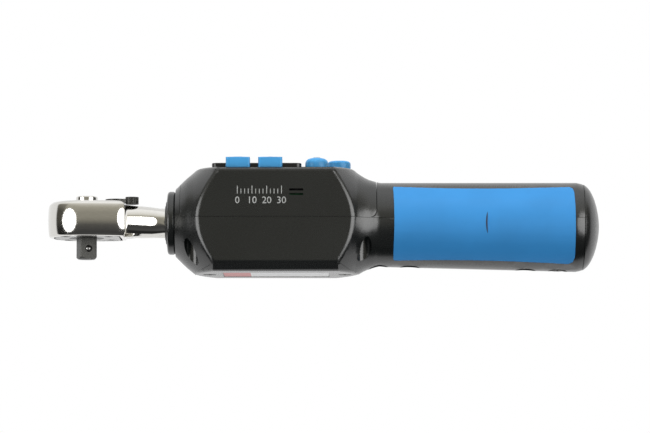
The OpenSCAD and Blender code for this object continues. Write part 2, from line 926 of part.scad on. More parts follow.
module display_bezel() {
    color([0.09, 0.09, 0.10])
        on_axis()
            difference() {
                translate([0, 0, bezel_bottom])
                    linear_extrude(height = bezel_top - bezel_bottom)
                        bezel_plan(0);
                // window with a ledge for the lens
                box([window_start, window_low, 0], [window_end, window_high, 30]);
                box([window_start - 1, window_low - 1, bezel_top - 0.9],
                    [window_end + 1, window_high + 1, 30]);
            }
}

module display_lens() {
    color([0.75, 0.82, 0.84])
        on_axis()
            box([window_start - 0.9, window_low - 0.9, bezel_top - 0.9],
                [window_end + 0.9, window_high + 0.9, bezel_top - 0.1]);
}

module lcd_module() {
    color([0.55, 0.60, 0.52])
        on_axis() {
            box([window_start - 0.2, window_low - 0.8, board_top], [window_end + 0.4, window_high + 0.6, 16.2]);
            box([window_start + 0.8, window_low + 0.8, 16.2 - eps], [window_end - 0.6, window_high - 0.8, 17.1]);
        }
}

module circuit_board() {
    color([0.10, 0.35, 0.20])
        on_axis()
            difference() {
                union() {
                    box([board_front, -board_half_width, board_bottom],
                        [board_back, board_half_width, board_top]);
                    // chips under the board
                    box([66, -11, board_bottom - 1.1], [73, -4, board_bottom + eps]);
                    box([80, 6, board_bottom - 1.5], [86, 12, board_bottom + eps]);
                    // lead sockets under the board
                    for (y = [-lead_y, lead_y])
                        box([92, y - 1.8, board_bottom - 2.2], [95.2, y + 1.8, board_bottom + eps]);
                }
                for (p = board_screw_places)
                    column(p, 1.2, 0, 20);
            }
}

module board_screws() {
    color(steel_color)
        on_axis()
            for (p = board_screw_places)
                translate([p[0], p[1], board_bottom])
                    pan_screw(1.9, 1.2, 0.9, 6.5, 0.4);
}

module key_switches() {
    places = [[long_key_x[0], long_key_y], [long_key_x[1], long_key_y], dome_key_place, flat_key_place];
    color([0.25, 0.25, 0.27])
        on_axis()
            for (p = places)
                difference() {
                    box([p[0] - switch_half, p[1] - switch_half, board_top],
                        [p[0] + switch_half, p[1] + switch_half, switch_top]);
                    column(p, 1.3, switch_top - 2, 30);
                }
}

module buzzer() {
    color([0.07, 0.07, 0.08])
        on_axis()
            difference() {
                column([78.2, -board_half_width + 4.3], 4, board_top, board_top + 4);
                column([78.2, -board_half_width + 4.3], 0.8, board_top + 2, board_top + 5);
            }
}

// ---------- keys ----------

module key_post(place) {
    column(place, 1.2, switch_top - 0.6, roof_under - 0.5);
}

module long_key(x) {
    color(blue_color)
        on_axis() {
            intersection() {
                translate([x, long_key_y, roof_under - 1])
                    linear_extrude(height = 12)
                        rounded_plan(long_key_length, long_key_width, 0.8);
                translate([x - 20, long_key_y, long_key_top - 7])
                    rotate([0, 90, 0])
                        cylinder(h = 40, r = 7, $fn = round_fn);
                translate([x, long_key_y - 20, long_key_top - 40])
                    rotate([-90, 0, 0])
                        cylinder(h = 40, r = 40, $fn = 180);
            }
            box([x - long_key_length / 2 - 0.6, long_key_y - long_key_width / 2 - 0.5, roof_under - 1],
                [x + long_key_length / 2 + 0.6, long_key_y + long_key_width / 2 + 0.5, roof_under - seat_fit]);
            key_post([x, long_key_y]);
        }
}

module round_key(place, points) {
    color(blue_color)
        on_axis() {
            translate([place[0], place[1], 0])
                rotate_extrude($fn = round_fn)
                    polygon(points);
            intersection() {
                column(place, round_key_radius + 0.5, roof_under - 1, roof_under - seat_fit);
                box([place[0] - 3, -30, 0], [place[0] + 3, 30, 30]);
            }
            key_post(place);
        }
}

module mode_key() {
    long_key(long_key_x[0]);
}

module unit_key() {
    long_key(long_key_x[1]);
}

module power_key() {
    t = round_key_top;
    r = round_key_radius;
    round_key(dome_key_place, concat([[0, roof_under - 1], [r, roof_under - 1], [r, t - 2.3]],
        [for (a = [15 : 15 : 75]) [r - 0.5 + 0.5 * cos(a) - 0.9 * (1 - cos(a)) * r / 2.2, t - 2.3 + 2 * sin(a)]],
        [[r * 0.3, t - 0.08], [0, t]]));
}

module light_key() {
    t = round_key_top - 0.1;
    r = round_key_radius;
    round_key(flat_key_place, concat([[0, roof_under - 1], [r, roof_under - 1]],
        [for (a = [0 : 22.5 : 90]) [r - 1.1 + 1.1 * cos(a), t - 1.1 + 1.1 * sin(a)]],
        [[0, t]]));
}

// ---------- grip ----------

module grip_top_shell() {
    color(plastic_color)
        on_axis()
            difference() {
                union() {
                    intersection() {
                        difference() {
                            envelope();
                            hollow();
                        }
                        side_shape(shell_outline(seam_gap), 40);
                    }
                    intersection() {
                        envelope();
                        union() {
                            column([beam_screw_x[0], 0], 3.2, beam_half_height + seat_fit, 10.9);
                            column([beam_screw_x[1], 0], 3.2, beam_half_height + seat_fit, 14);
                            box([cover_end + seam_gap, -3, 8], [grip_start + 4, 3, 14]);
                        }
                    }
                }
                for (x = beam_screw_x)
                    column([x, 0], 1.3, -40, 10.3);
                pad_layer(6, pad_thickness - pad_proud + seat_fit, 0, -1);
                pad_layer(6, pad_thickness - pad_proud + seat_fit, 0, 1);
            }
}

module grip_pad(side) {
    color(blue_color)
        on_axis()
            difference() {
                pad_layer(pad_proud, pad_thickness - pad_proud, seat_fit, side);
                // force mark
                translate([149.1, side * 20, -0.3])
                    cube([0.6, 7.6 + 0.6 * pad_proud, 7], center = true);
            }
}

module left_grip_pad() {
    grip_pad(1);
}

module right_grip_pad() {
    grip_pad(-1);
}

module grip_screws() {
    color(steel_color)
        on_axis() {
            for (x = beam_screw_x)
                translate([x, 0, beam_pocket_top])
                    pan_screw(2.7, 2, 1.25, 18, 0.55);
            translate([tray_screw_x, 0, tray_pocket_top])
                pan_screw(2.7, 1.8, 1.25, 4, 0.55);
            translate([thread_screw_x, 0, thread_pocket_top])
                pan_screw(2.4, 0.85, 1.25, 3.3, 0.45);
        }
}

module battery_tray() {
    color([0.13, 0.13, 0.14]) {
        in_grip()
            difference() {
                union() {
                    box([tray_front, -tray_half_width, -6.6], [tray_back, tray_half_width, 1.5]);
                    box([tray_front, -tray_half_width, 1.4], [tray_front + 1, tray_half_width, 5]);
                }
                for (side = [-1, 1])
                    translate([0, side * cell_spacing, 0])
                        rod_x(tray_front + 1, 80, cell_radius + 0.1);
                box([tray_front + 1, -10, 0], [80, 10, 10]);
            }
        on_axis()
            difference() {
                column([tray_screw_x, 0], 2.8, -11.15, -7.6);
                column([tray_screw_x, 0], 1.3, -12, -8.3);
            }
    }
}

module battery_cells() {
    back = cell_front + cell_length;
    color([0.50, 0.36, 0.20])
        in_grip() {
            translate([0, cell_spacing, 0])
                turned([[cell_front, 0], [cell_front, 4.6], [cell_front + 0.6, cell_radius],
                    [back - 1.6, cell_radius], [back - 1, 4.6], [back - 1, 1.9], [back, 1.8], [back, 0]]);
            translate([0, -cell_spacing, 0])
                turned([[cell_front, 0], [cell_front, 1.8], [cell_front + 1, 1.9], [cell_front + 1, 4.6],
                    [cell_front + 1.6, cell_radius], [back - 0.6, cell_radius], [back, 4.6], [back, 0]]);
        }
}

module front_contacts() {
    start = tray_front + 1 + eps;
    color([0.80, 0.76, 0.62])
        in_grip()
            for (side = [-1, 1])
                translate([0, side * cell_spacing, 0]) {
                    box([start, -3.6, -3.6], [start + 0.3, 3.6, 3.6]);
                    translate([start + 0.3 + eps, 0, 0])
                        rotate([0, 90, 0])
                            coil(2.6, 0.2, cell_front - start - 0.3 - 2 * eps, 1.5);
                }
}

module battery_leads() {
    color([0.70, 0.10, 0.10])
        on_axis()
            for (y = [-lead_y, lead_y])
                wire([[grip_start + tray_front - 0.1, y, 2], [99, y, 2], [93.6, y, 4], [93.6, y, 6.4]], 0.55);
}

module thread_collar() {
    color([0.60, 0.58, 0.50])
        difference() {
            in_grip()
                difference() {
                    tube_x(collar_front, grip_length - 0.1, collar_outer, collar_bore);
                    tube_x(grip_length - 1.9, grip_length + 1, 13.4, 5);
                }
            on_axis()
                column([thread_screw_x, 0], 1.3, -40, -5);
        }
}

module cap_contact() {
    back = cell_front + cell_length;
    color([0.80, 0.76, 0.62])
        in_grip()
            turned([[back + 0.05, 0], [back + 0.05, 9.6], [back + 0.45, 9.6], [back + 0.45, 3],
                [back + 2, 3], [back + 2, 0]]);
}

module end_cap() {
    g = grip_length + 0.1;
    plug = cell_front + cell_length + 0.6;
    color(plastic_color)
        in_grip()
            difference() {
                turned([[plug, 3.2], [plug, collar_bore - running_fit - 0.4],
                    [plug + 0.5, collar_bore - running_fit],
                    [g - 0.1, collar_bore - running_fit], [g, collar_bore - running_fit],
                    [g, 15.85], [g + 0.3, 15.95], [g + 1, 15.45],
                    [g + 1.8, 14.75], [g + 2.6, 13.75], [g + 3.4, 12.35], [g + 4.2, 10.6], [g + 5, 8.1],
                    [g + 5.7, 5], [g + 6.05, 2.4], [g + 6.15, 0], [g + 3, 0], [g, 3], [plug + 1.6, 3.2]]);
                // coin slot
                box([g + 4.6, -0.9, -6.5], [g + 10, 0.9, 6.5]);
            }
}

module cap_seal() {
    color([0.08, 0.08, 0.08])
        in_grip()
            translate([grip_length - 0.75, 0, 0])
                rotate([0, 90, 0])
                    rotate_extrude($fn = small_fn)
                        translate([collar_bore + 0.63, 0])
                            circle(r = 0.65, $fn = 24);
}

ratchet_head();
head_cover_plate();
cover_screws();
drive_gear();
drive_ball();
release_button();
release_spring();
pawl();
reverse_lever();
detent_ball();
detent_spring();
neck_boot();
front_collar();
torque_beam();
neck_pin();
strain_gauges();
gauge_leads();
lower_housing();
display_cover();
bottom_plate();
bottom_label();
housing_screws();
bottom_plate_screws();
display_bezel();
display_lens();
lcd_module();
circuit_board();
board_screws();
key_switches();
buzzer();
mode_key();
unit_key();
power_key();
light_key();
grip_top_shell();
left_grip_pad();
right_grip_pad();
grip_screws();
battery_tray();
battery_cells();
front_contacts();
battery_leads();
thread_collar();
cap_contact();
end_cap();
cap_seal();
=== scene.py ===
import json
import math

import bmesh
import bpy
from mathutils import Matrix, Vector
from mathutils.bvhtree import BVHTree


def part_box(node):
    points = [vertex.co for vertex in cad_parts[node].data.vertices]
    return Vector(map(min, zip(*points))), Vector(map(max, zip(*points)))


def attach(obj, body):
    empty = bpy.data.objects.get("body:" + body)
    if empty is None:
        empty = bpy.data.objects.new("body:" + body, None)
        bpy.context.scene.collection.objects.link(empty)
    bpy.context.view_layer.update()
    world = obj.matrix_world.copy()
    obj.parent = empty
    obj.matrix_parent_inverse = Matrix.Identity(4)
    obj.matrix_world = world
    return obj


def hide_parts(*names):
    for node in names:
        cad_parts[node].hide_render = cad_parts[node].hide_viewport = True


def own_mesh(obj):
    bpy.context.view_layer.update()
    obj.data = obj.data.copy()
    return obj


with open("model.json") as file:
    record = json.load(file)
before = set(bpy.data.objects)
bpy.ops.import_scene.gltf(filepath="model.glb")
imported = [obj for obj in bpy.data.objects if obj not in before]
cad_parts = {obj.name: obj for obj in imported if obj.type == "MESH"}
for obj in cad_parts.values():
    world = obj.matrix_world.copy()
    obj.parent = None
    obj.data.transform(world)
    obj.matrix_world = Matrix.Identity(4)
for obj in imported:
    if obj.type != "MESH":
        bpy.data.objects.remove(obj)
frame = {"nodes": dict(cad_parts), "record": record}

bl_info = {
    "name": "Digital Torque Wrench",
    "version": (1, 0, 0),
    "blender": (4, 5, 0),
    "location": "3D View > Sidebar > Wrench",
    "description": "Dresses the packed torque wrench with detailed pieces, procedural materials and a studio",
    "category": "Object",
}

MM = 0.001
WELD = 0.000002  # vertices closer than this are one, m

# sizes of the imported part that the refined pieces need, mm
AXIS_Z = 5.65  # height of the wrench's axis above the shoulder of the square
CASE_SIDE = 20.5  # from the axis to the case's flat sides
CASE_ENDS = (34, 108)  # between these places along the wrench lie the case's ridges
HEAD_HEIGHT = 13.2
HEAD_STRETCH = 8.6  # the head's round end is centred on the square, and its other end this far behind
FLOOR_Z = -13.56  # just under the case's bottom

# the rounding of the case's ridges, mm
RIDGE_LAST_ROW = 19.75  # the rounding's last row, on the taper, lies just inside this distance along Y
RIDGE_FLOOR = 16.5  # rows lower than this under the axis stay as they are

# the head's barrel form, mm
HEAD_BULGE = 0.35  # at half height
HEAD_CROWN = 0.45  # how much less it is at the top and bottom

# middle of the wrench, which the camera looks at and the lamps aim at, m
VIEW_CENTRE = (0.0887, 0.0, 0.0082)
LAMP_CENTRE = (0.09, 0, 0.01)

# brightness of the surround in front of the wrench by height of its direction, and a warm tint from 0 to 1
SURROUND_LEVELS = [
    (-0.98, 0.10, 0), (-0.45, 0.06, 0), (-0.19, 0.11, 0.5), (0.0, 0.29, 1), (0.1, 0.34, 1),
    (0.3, 0.36, 1), (0.48, 0.48, 1), (0.66, 0.95, 0.4), (0.98, 1.25, 0),
]

# from where to where, along Y or Z of its direction, the surround changes from one level to the other
BEHIND = (0.14, 0.26)
FLANK = (-0.42, -0.24)
ABOVE = (0.3, 0.75)
FLANK_LEVEL = 0.25  # share of SURROUND_LEVELS that is left at the sides, low down

# the forged neck: x, half width, bottom and top, mm
NECK = [
    (12.0, 7.9, 0.1, 12.25),
    (20.5, 6.4, 0.05, 12.0),
    (24.5, 5.8, 0.15, 11.55),
    (28.9, 5.3, 0.75, 10.9),
]
NECK_POWER = 2.3  # power of the neck's rounded section, between an ellipse (2) and a square
NECK_MIDDLE = 5.95  # height of the middle of its section, mm

CORNER_START = 10.0  # where the head's side begins to turn to the neck, mm
CORNER_TURN = 7.0  # how fast its shading turns there, degrees per mm
SIDE_TILT = 20  # how far the shading of the head's side leans at its top and bottom, degrees
NECK_TURN = 0.36  # how far the neck's shading turns to the grip, as its hourglass form does

PRINT_HEIGHT = 0.03 * MM  # the printed scale
INK_AND_SHADE_HEIGHT = 0.02 * MM  # the display's digits, and the painted shade lines in the pads' notches
SYMBOL_HEIGHT = 0.06 * MM  # the symbols, which start 0.03 mm inside the keys

# refined copies of CAD nodes: node -> (width of the edge rounding in mm, least angle of an edge)
REFINED = {
    "ratchet_head": (0.22, 34),
    "head_cover_plate": (0.12, 34),
    "drive_gear": (0.14, 34),
    "release_button": (0.10, 34),
    "reverse_lever": (0.18, 34),
    "neck_boot": (0.12, 34),
    "front_collar": (0.12, 34),
    "lower_housing": (0.12, 30),
    "display_cover": (0.12, 30),
    "bottom_plate": (0.14, 30),
    "grip_top_shell": (0.12, 30),
    "left_grip_pad": (0.20, 30),
    "right_grip_pad": (0.20, 30),
    "end_cap": (0.16, 34),
    "display_bezel": (0.35, 30),
    "mode_key": (0.30, 30),
    "unit_key": (0.30, 30),
    "power_key": (0.15, 30),
    "light_key": (0.15, 30),
    "bottom_label": (0.03, 30),
    "housing_screws": (0.10, 34),
    "bottom_plate_screws": (0.08, 34),
    "grip_screws": (0.10, 34),
    "cover_screws": (0.05, 34),
}


# ---------------------------------------------------------------- node helpers


def srgb(r, g, b):
    """A colour given as sRGB 0 to 255, in the linear values that shaders take."""
    out = []
    for v in (r, g, b):
        v /= 255
        out.append(v / 12.92 if v <= 0.04045 else ((v + 0.055) / 1.055) ** 2.4)
    return (*out, 1.0)


def grain_group():
    """Shared node group: a fine grain as a bump normal, and a slow mottle as a mask."""
    if "surface_grain" in bpy.data.node_groups:
        return bpy.data.node_groups["surface_grain"]
    g = bpy.data.node_groups.new("surface_grain", "ShaderNodeTree")
    for name, value in (("Scale", 4000.0), ("Depth", 0.00002), ("Mottle Scale", 60.0)):
        s = g.interface.new_socket(name, in_out="INPUT", socket_type="NodeSocketFloat")
        s.default_value = value
    g.interface.new_socket("Normal", in_out="OUTPUT", socket_type="NodeSocketVector")
    g.interface.new_socket("Mottle", in_out="OUTPUT", socket_type="NodeSocketFloat")
    g.interface.new_socket("Grain", in_out="OUTPUT", socket_type="NodeSocketFloat")
    n, l = g.nodes, g.links
    gin, gout = n.new("NodeGroupInput"), n.new("NodeGroupOutput")
    coord = n.new("ShaderNodeTexCoord")
    fine = n.new("ShaderNodeTexNoise")
    fine.inputs["Detail"].default_value = 3.0
    slow = n.new("ShaderNodeTexNoise")
    slow.inputs["Detail"].default_value = 5.0
    bump = n.new("ShaderNodeBump")
    bump.inputs["Strength"].default_value = 1.0
    l.new(coord.outputs["Object"], fine.inputs["Vector"])
    l.new(coord.outputs["Object"], slow.inputs["Vector"])
    l.new(gin.outputs["Scale"], fine.inputs["Scale"])
    l.new(gin.outputs["Mottle Scale"], slow.inputs["Scale"])
    l.new(gin.outputs["Depth"], bump.inputs["Distance"])
    l.new(fine.outputs["Fac"], bump.inputs["Height"])
    l.new(bump.outputs["Normal"], gout.inputs["Normal"])
    l.new(slow.outputs["Fac"], gout.inputs["Mottle"])
    l.new(fine.outputs["Fac"], gout.inputs["Grain"])
    return g


def brushed_group():
    """Shared node group: fine streaks along X as a bump normal and a mask."""
    if "brushed_streaks" in bpy.data.node_groups:
        return bpy.data.node_groups["brushed_streaks"]
    g = bpy.data.node_groups.new("brushed_streaks", "ShaderNodeTree")
    s = g.interface.new_socket("Depth", in_out="INPUT", socket_type="NodeSocketFloat")
    s.default_value = 0.000004
    g.interface.new_socket("Normal", in_out="OUTPUT", socket_type="NodeSocketVector")
    g.interface.new_socket("Streak", in_out="OUTPUT", socket_type="NodeSocketFloat")
    n, l = g.nodes, g.links
    gin, gout = n.new("NodeGroupInput"), n.new("NodeGroupOutput")
    coord = n.new("ShaderNodeTexCoord")
    squeeze = n.new("ShaderNodeMapping")
    squeeze.inputs["Scale"].default_value = (200.0, 4500.0, 4500.0)
    noise = n.new("ShaderNodeTexNoise")
    noise.inputs["Scale"].default_value = 1.0
    noise.inputs["Detail"].default_value = 2.0
    bump = n.new("ShaderNodeBump")
    bump.inputs["Strength"].default_value = 1.0
    l.new(coord.outputs["Object"], squeeze.inputs["Vector"])
    l.new(squeeze.outputs["Vector"], noise.inputs["Vector"])
    l.new(gin.outputs["Depth"], bump.inputs["Distance"])
    l.new(noise.outputs["Fac"], bump.inputs["Height"])
    l.new(bump.outputs["Normal"], gout.inputs["Normal"])
    l.new(noise.outputs["Fac"], gout.inputs["Streak"])
    return g


def range_node(nodes, low, high, start=0.35, end=0.65):
    """A node that maps start to end onto low to high, by default the middle of a noise."""
    m = nodes.new("ShaderNodeMapRange")
    m.inputs["From Min"].default_value = start
    m.inputs["From Max"].default_value = end
    m.inputs["To Min"].default_value = low
    m.inputs["To Max"].default_value = high
    return m


def new_material(name):
    """A new material with its nodes, its links and its Principled shader."""
    mat = bpy.data.materials.new(name)
    mat.use_nodes = True
    return mat, mat.node_tree.nodes, mat.node_tree.links, mat.node_tree.nodes["Principled BSDF"]


def tone_ramp(nodes, colour, spread, places):
    """A ramp from a darker to a lighter tone of a colour."""
    ramp = nodes.new("ShaderNodeValToRGB")
    for stop, place, k in zip(ramp.color_ramp.elements, places, (1 - spread, 1 + spread)):
        stop.position = place
        stop.color = (*(v * k for v in colour[:3]), 1.0)
    return ramp


def solid_material(name, colour, rough, metallic=0.0, scale=4000.0, depth=0.00002, spread=0.1,
                   specular=0.5):
    """A material whose colour drifts slowly, over a fine grain that also varies its roughness."""
    mat, n, l, shader = new_material(name)
    grain = n.new("ShaderNodeGroup")
    grain.node_tree = grain_group()
    grain.inputs["Scale"].default_value = scale
    grain.inputs["Depth"].default_value = depth
    ramp = tone_ramp(n, colour, spread, (0.35, 0.65))
    polish = range_node(n, *rough)
    l.new(grain.outputs["Mottle"], ramp.inputs["Fac"])
    l.new(grain.outputs["Grain"], polish.inputs["Value"])
    l.new(ramp.outputs["Color"], shader.inputs["Base Color"])
    l.new(polish.outputs["Result"], shader.inputs["Roughness"])
    l.new(grain.outputs["Normal"], shader.inputs["Normal"])
    shader.inputs["Metallic"].default_value = metallic
    shader.inputs["Specular IOR Level"].default_value = specular
    return mat


def metal_material(name, colour, rough, depth=0.000004, spread=0.1):
    """Machined metal with fine streaks along the wrench."""
    mat, n, l, shader = new_material(name)
    streaks = n.new("ShaderNodeGroup")
    streaks.node_tree = brushed_group()
    streaks.inputs["Depth"].default_value = depth
    ramp = tone_ramp(n, colour, spread, (0.3, 0.7))
    polish = range_node(n, *rough)
    l.new(streaks.outputs["Streak"], ramp.inputs["Fac"])
    l.new(streaks.outputs["Streak"], polish.inputs["Value"])
    l.new(ramp.outputs["Color"], shader.inputs["Base Color"])
    l.new(polish.outputs["Result"], shader.inputs["Roughness"])
    l.new(streaks.outputs["Normal"], shader.inputs["Normal"])
    shader.inputs["Metallic"].default_value = 1.0
    return mat


def label_material(band):
    """Plain film: a colour band at the head's end and off-white for the rest."""
    mat, n, l, shader = new_material("label")
    grain = n.new("ShaderNodeGroup")
    grain.node_tree = grain_group()
    grain.inputs["Scale"].default_value = 2500.0
    grain.inputs["Depth"].default_value = 0.000003
    coord = n.new("ShaderNodeTexCoord")
    split = n.new("ShaderNodeSeparateXYZ")
    edge = range_node(n, 0.0, 1.0, 61.1 * MM, 61.3 * MM)  # the band ends 61.2 mm from the square
    ramp = n.new("ShaderNodeValToRGB")
    red, white = ramp.color_ramp.elements
    red.color = (*band, 1.0)
    white.color = srgb(226, 227, 228)
    spread = range_node(n, 0.28, 0.42)
    l.new(coord.outputs["Object"], split.inputs["Vector"])
    l.new(split.outputs["X"], edge.inputs["Value"])
    l.new(edge.outputs["Result"], ramp.inputs["Fac"])
    l.new(ramp.outputs["Color"], shader.inputs["Base Color"])
    l.new(grain.outputs["Grain"], spread.inputs["Value"])
    l.new(spread.outputs["Result"], shader.inputs["Roughness"])
    l.new(grain.outputs["Normal"], shader.inputs["Normal"])
    return mat


def glass_material():
    """Clear plastic with a faint haze."""
    mat, n, l, shader = new_material("clear_lens")
    grain = n.new("ShaderNodeGroup")
    grain.node_tree = grain_group()
    grain.inputs["Depth"].default_value = 0.0000005
    spread = range_node(n, 0.02, 0.06)
    l.new(grain.outputs["Grain"], spread.inputs["Value"])
    l.new(spread.outputs["Result"], shader.inputs["Roughness"])
    shader.inputs["Base Color"].default_value = (0.92, 0.95, 0.95, 1)
    shader.inputs["Transmission Weight"].default_value = 1.0
    shader.inputs["IOR"].default_value = 1.49
    return mat


def make_materials(look):
    """Every material, by the name of its slot in the record or of its print."""
    return {
        "chrome": metal_material("chrome", (0.67, 0.66, 0.63), (0.07, 0.12), 0.0000004, 0.04),
        "steel": metal_material("steel", srgb(69, 69, 67), (0.38, 0.50)),
        "bright_steel": metal_material("bright_steel", srgb(150, 150, 148), (0.24, 0.36)),
        "zinc_steel": metal_material("zinc_steel", srgb(172, 172, 173), (0.28, 0.40)),
        "beam_steel": metal_material("beam_steel", srgb(180, 182, 184), (0.28, 0.40)),
        "contact": metal_material("contact", srgb(214, 208, 184), (0.22, 0.32)),
        "thread_metal": metal_material("thread_metal", srgb(198, 176, 120), (0.26, 0.36)),
        "black_plastic": solid_material("black_plastic", look.case_colour, (0.22, 0.29), scale=5200,
                                        depth=0.000002, specular=0.75),
        "bezel_plastic": solid_material("bezel_plastic", srgb(23, 23, 25), (0.16, 0.24), depth=0.000002),
        "inner_plastic": solid_material("inner_plastic", srgb(50, 50, 52), (0.45, 0.55)),
        "blue_rubber": solid_material("blue_rubber", look.grip_colour, (0.5, 0.6), scale=6000,
                                      depth=0.000003, spread=0.04, specular=0.25),
        "blue_plastic": solid_material("blue_plastic", look.key_colour, (0.38, 0.46), depth=0.000001,
                                       spread=0.04, specular=0.35),
        "boot_rubber": solid_material("boot_rubber", srgb(28, 29, 29), (0.5, 0.62), depth=0.000004),
        "seal_rubber": solid_material("seal_rubber", srgb(25, 25, 25), (0.4, 0.5), depth=0.000004),
        "lcd": solid_material("lcd", srgb(154, 164, 146), (0.25, 0.32), depth=0.000001),
        "lcd_ink": solid_material("lcd_ink", srgb(31, 35, 33), (0.4, 0.5)),
        "board": solid_material("board", srgb(27, 103, 60), (0.3, 0.4)),
        "gauge": solid_material("gauge", srgb(200, 140, 70), (0.35, 0.45)),
        "red_wire": solid_material("red_wire", srgb(159, 33, 28), (0.35, 0.45)),
        "cell": solid_material("cell", srgb(160, 119, 59), (0.28, 0.36), metallic=0.6),
        "white_ink": solid_material("white_ink", srgb(166, 168, 168), (0.42, 0.5), depth=0.000002),
        "key_ink": solid_material("key_ink", srgb(222, 228, 232), (0.42, 0.5), depth=0.000001),
        # painted shade: a dark blue that stands for the shade falling in the grip pads' notches
        "groove_shade_paint": solid_material("groove_shade_paint", srgb(23, 35, 61), (0.45, 0.55)),
        "label": label_material(look.band_colour),
        "clear_lens": glass_material(),
    }


# ---------------------------------------------------------------- mesh helpers


def add_object(name, mesh, material, body):
    """Links a finished mesh as a piece that rides on a body."""
    obj = bpy.data.objects.new(name, mesh)
    bpy.context.scene.collection.objects.link(obj)
    mesh.materials.clear()
    mesh.materials.append(material)
    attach(obj, body)
    return obj


def mark_sharp(bm, angle):
    """Smooth faces, with edges above the angle kept sharp."""
    for f in bm.faces:
        f.smooth = True
    for e in bm.edges:
        e.smooth = not (len(e.link_faces) == 2 and e.calc_face_angle(0) > math.radians(angle))


def ridge(edge):
    """True for the case's long outer ridges, where its flat sides meet the tapers."""
    if len(edge.link_faces) != 2 or not edge.is_convex:
        return False
    mid = (edge.verts[0].co + edge.verts[1].co) / 2
    x, y, z = mid.x / MM, mid.y / MM, mid.z / MM - AXIS_Z
    if not CASE_ENDS[0] < x < CASE_ENDS[1]:
        return False
    on_side = abs(abs(y) - CASE_SIDE) < 0.02
    on_top = z > 18.4 and abs(y) < 20
    on_bottom = z < -19.15
    return (on_side or on_top or on_bottom) and 18 < math.degrees(edge.calc_face_angle(0)) < 75


def even_place(v, rows):
    """Where a vertex of the rounding goes, nearer to the line between its neighbours along the ridge."""
    ends = [e.other_vert(v) for e in v.link_edges if e.calc_length() > 0.7 * MM]
    ends = [o for o in ends if o in rows]
    if len(ends) != 2 or v.co.z <= (AXIS_Z - RIDGE_FLOOR) * MM:
        return None
    a, b = (o.co - v.co for o in ends)
    if a.angle(b) <= math.radians(150):
        return None
    t = a.length / (a.length + b.length)
    return v.co + 0.6 * (a * (1 - t) + b * t)


def join_passed_corners(bm, rows):
    """Corners of the taper that the rounding has passed join its last row."""
    for v in bm.verts:
        if v in rows or not RIDGE_LAST_ROW < abs(v.co.y) / MM < CASE_SIDE - 0.05:
            continue
        near = [e.other_vert(v) for e in v.link_edges]
        near = [o for o in near if o in rows and abs(o.co.y) < RIDGE_LAST_ROW * MM]
        if len(near) > 1:
            v.co = min(near, key=lambda o: (o.co - v.co).length).co
    bmesh.ops.remove_doubles(bm, verts=bm.verts[:], dist=WELD)


def round_ridges(bm, width):
    """Rounds the case's long outer ridges, and evens out the rows of the rounding."""
    edges = [e for e in bm.edges if ridge(e)]
    if not edges:
        return
    made = bmesh.ops.bevel(bm, geom=edges, offset=width, offset_type="OFFSET", segments=5,
                           profile=0.5, affect="EDGES", clamp_overlap=False)
    rows = set(made["verts"])
    for _ in range(4):
        places = {v: even_place(v, rows) for v in rows}
        for v, place in places.items():
            if place is not None:
                v.co = place
    join_passed_corners(bm, rows)


def crown_head(bm):
    """Gives the head's straight side a slight barrel form, as a forging has."""
    height = HEAD_HEIGHT * MM
    rows = 9
    for i in range(1, rows):
        bmesh.ops.bisect_plane(bm, geom=bm.verts[:] + bm.edges[:] + bm.faces[:],
                               plane_co=(0, 0, height * i / rows), plane_no=(0, 0, 1))
    for v in bm.verts:
        x, y = v.co.x, v.co.y
        centre_x = min(max(x, 0.0), HEAD_STRETCH * MM)
        reach = math.hypot(x - centre_x, y)
        if reach > 12.4 * MM and 0 <= v.co.z <= height and x < 14.7 * MM:
            level = 2 * v.co.z / height - 1
            grow = 1 + (HEAD_BULGE - HEAD_CROWN * level * level) * MM / reach
            v.co.x = centre_x + (x - centre_x) * grow
            v.co.y = y * grow


def head_normal(v, x, y, z):
    """Rounder shading for a vertex of the head's side, or None where it isn't one."""
    middle = HEAD_HEIGHT / 2
    centre_x = min(max(x, 0.0), HEAD_STRETCH)
    lean = math.asin(max(-1, min(1, v.normal.z)))
    on_side = math.hypot(x - centre_x, y) > 10.0 and abs(lean) < 1.3
    if not on_side or not 0.02 < z < HEAD_HEIGHT - 0.02 or x >= 14.4:
        return None
    tilt = math.radians(SIDE_TILT) * (z - middle) / middle
    lean = max(tilt, lean) if tilt > 0 else min(tilt, lean)
    flat = Vector((v.normal.x, v.normal.y, 0)).normalized()
    if x > CORNER_START:
        turn = math.radians(CORNER_TURN) * (x - CORNER_START)
        flat = Vector((math.sin(turn), math.copysign(math.cos(turn), y), 0))
    return flat * math.cos(lean) + Vector((0, 0, math.sin(lean)))


def neck_normal(x, y, z):
    """The normal of the neck's rounded section at a place on it, or None away from it."""
    if not 15.4 < x < 28.95:
        return None
    wide, low, high = neck_size(x)
    tall = (high - low) / 2
    u, w = y / wide, (2 * z - low - high) / (high - low)
    if not 0.9 < abs(u) ** NECK_POWER + abs(w) ** NECK_POWER < 1.2:
        return None
    side = math.copysign(abs(u) ** (NECK_POWER - 1), u)
    rise = math.copysign(abs(w) ** (NECK_POWER - 1), w)
    turn = NECK_TURN * abs(side) * min(1, (29 - x) / 4)
    return Vector((turn, side, rise * wide / tall)).normalized()


def forged_normals(mesh):
    """Rounder shading for the head's side and the neck, as on a forging."""
    normals = []
    for v in mesh.vertices:
        x, y, z = v.co / MM
        # a zero vector leaves the vertex's own normal
        normals.append(head_normal(v, x, y, z) or neck_normal(x, y, z) or Vector((0, 0, 0)))
    mesh.normals_split_custom_set_from_vertices(normals)


def neck_size(x):
    """The neck's half width, bottom and top at a place along it."""
    for a, b in zip(NECK, NECK[1:]):
        if x <= b[0]:
            t = (x - a[0]) / (b[0] - a[0])
            return [p + (q - p) * t for p, q in zip(a[1:], b[1:])]
    return NECK[-1][1:]


